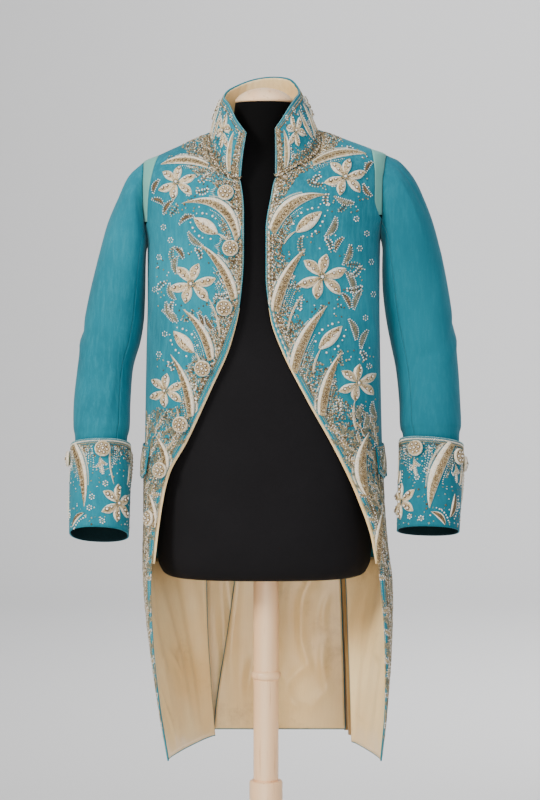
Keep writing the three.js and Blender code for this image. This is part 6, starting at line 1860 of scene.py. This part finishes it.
for name, sign in SIDES.items():
    def place(across, up, name=name):
        across = np.asarray(across, float)
        return collar_chart(across if name == "right" else COLLAR_LENGTH - across, up)

    for x, z, radius in COLLAR_FLOWERS:
        flower(work, place, x, z, radius, 0.4, 1.5, 6.0)
    for leaf in COLLAR_LEAVES:
        padded(work, place, leaf, lift=2.8, inner=(-0.82, 0.28), steps=14)
        beads_along(work, place, leaf, leaf[5] * 0.5 + 2.6, 3.4, 1.0)
    for x, z in COLLAR_FLORETS:
        floret(work, place, x, z, 3.2, 1.2)
    kept = [((x, z), radius * 0.9) for x, z, radius in COLLAR_FLOWERS] + cleared(COLLAR_LEAVES, 0.8)
    stitch_rows(work, place, np.arange(2, 79, 2.8), 3.4, COLLAR_LINES)
    stitch_rows(work, place, np.arange(2, COLLAR_LENGTH / 2, 2.8), 3.4, COLLAR_LINES, COLLAR_HEIGHT, -1,
                level=True)
    up = collar_rng.uniform(2, 72, 420)
    scatter(work, place, collar_rng, 9 + 12 * collar_rng.uniform(0, 1, 420)**1.4, up, kept, 0.5, 1.4)
    across = collar_rng.uniform(6, COLLAR_LENGTH / 2, 900)
    scatter(work, place, collar_rng, across, 1 + 15 * collar_rng.uniform(0, 1, 900)**1.5, kept, 0.8, 0.2)
    across = collar_rng.uniform(16, COLLAR_LENGTH / 2, 500)
    scatter(work, place, collar_rng, across, collar_rng.uniform(10, 74, 500), kept, 0.4, 1.0)

# thick stitches of dark gilt that cover the seam between the collar and the neckline
seam = np.repeat(collar_grid[0], 2, axis=0)[1:]
seam[1::2] = (collar_grid[0][:-1] + collar_grid[0][1:]) / 2
seam_way = collar_normals[0][np.arange(len(seam)) // 2]
fall = np.array((0.0, 0.0, -1.0)) + seam_way * 0.5
fall = fall / np.linalg.norm(fall, axis=1, keepdims=True)
seam_out_way = seam_way * 0.8 + (0, 0, 0.6)
seam_out_way = seam_out_way / np.linalg.norm(seam_out_way, axis=1, keepdims=True)
along = np.gradient(seam, axis=0)
along = along / np.linalg.norm(along, axis=1, keepdims=True)
seam_size = collar_rng.uniform(0.6, 1.2, (len(seam), 1))
seam_turn = collar_rng.uniform(-1.0, 1.0, (len(seam), 1))
seam_step = collar_rng.uniform(-1.6, 1.6, (len(seam), 1))
for first, thread in enumerate(("dark", "gilt", "olive", "dark", "floss", "gilt")):
    here = slice(first, None, 6)
    stamp(work, "stroke", thread, (seam + fall * (1.0 + seam_step) + seam_way * 0.5)[here], seam_out_way[here],
          (fall + along * seam_turn)[here], seam_size[here] * (5.6, 1.7, 1.8))
    stamp(work, "bead", ("pearl", "dark", "gilt")[first % 3],
          (seam + fall * (2.6 * seam_turn) + seam_way * 1.6)[here], seam_out_way[here], fall[here],
          seam_size[here] * (1.3, 1.3, 1.1))
sew("embroidery_collar", work)

# ---------------------------------------------------------------- embroidery on the flaps, skirts and backs
# Each flap has a spray under a purl line. Gilt lines edge the back slit.

SLIT_TOP, SLIT_SCATTER, FLAP_SCATTER = 868, 1500, 420
flap_rng = np.random.default_rng(1783)
for name, sign in SIDES.items():
    work = []
    length = FLAP_BEFORE + FLAP_BEHIND

    def place(across, up, name=name):
        across, up = np.broadcast_arrays(np.asarray(across, float), np.asarray(up, float))
        return on_cloth(flap_cloth[name], across / length * FLAP_COLUMNS, up / FLAP_DEPTH * FLAP_ROWS)

    for start in (12, 58, 104):
        spray(work, place, start + 4, 12, 1.1, 22)
        padded(work, place, (start + 28, 44, start + 14, 14, 3, 9, 0.5, 0.3), lift=3.0, inner=(-0.82, 0.28))
        floret(work, place, start + 6, 42)
    stitch_rows(work, place, np.arange(1, length - 3, 2.8), 3.4, (
        (1.0, 1.2, "whip", 1.6), (5.0, 5.4, "floss", 1.7), (7.0, 10.0, "gilt", 2.0), (52, 54, "gilt", 2.0)),
        level=True)
    across, up = flap_rng.uniform(3, length - 3, FLAP_SCATTER), flap_rng.uniform(9, 53, FLAP_SCATTER)
    scatter(work, place, flap_rng, across, up, (), 0.5)

    cloth = back_cloth[name]
    from_slit = chart(cloth, cloth["run"])
    whole = column_of([(z, row[-1]) for z, row in zip(back_heights, cloth["run"])], 1)
    line = np.arange(BACK_HEM + 5, SLIT_TOP + 4, 3.0)
    stitch_rows(work, from_slit, line, 3.8, (
        (1.0, 1.4, "whip", 1.7), (EDGE_BARE, EDGE_BARE + 0.4, "floss", 1.8),
        (EDGE_BARE + 1.8, EDGE_BARE + 5.6, "gilt", 2.0), (EDGE_BARE + 7.6, EDGE_BARE + 8.0, "dark", 1.7)),
        whole(line), -1)
    for i, z in enumerate(np.arange(BACK_HEM + 24, SLIT_TOP, 34.0)):
        spray(work, from_slit, float(whole(z)) - 22, z, 2.0 + 0.4 * math.sin(i * 2.1), 24, (-1)**i)
    z = flap_rng.uniform(BACK_HEM + 4, SLIT_TOP, SLIT_SCATTER)
    reach = EDGE_BARE + 8 + 24 * flap_rng.uniform(0, 1, SLIT_SCATTER)**1.6
    scatter(work, from_slit, flap_rng, whole(z) - reach, z, (), 0.5, math.pi / 2)
    sew(f"embroidery_skirt_{name}", work)
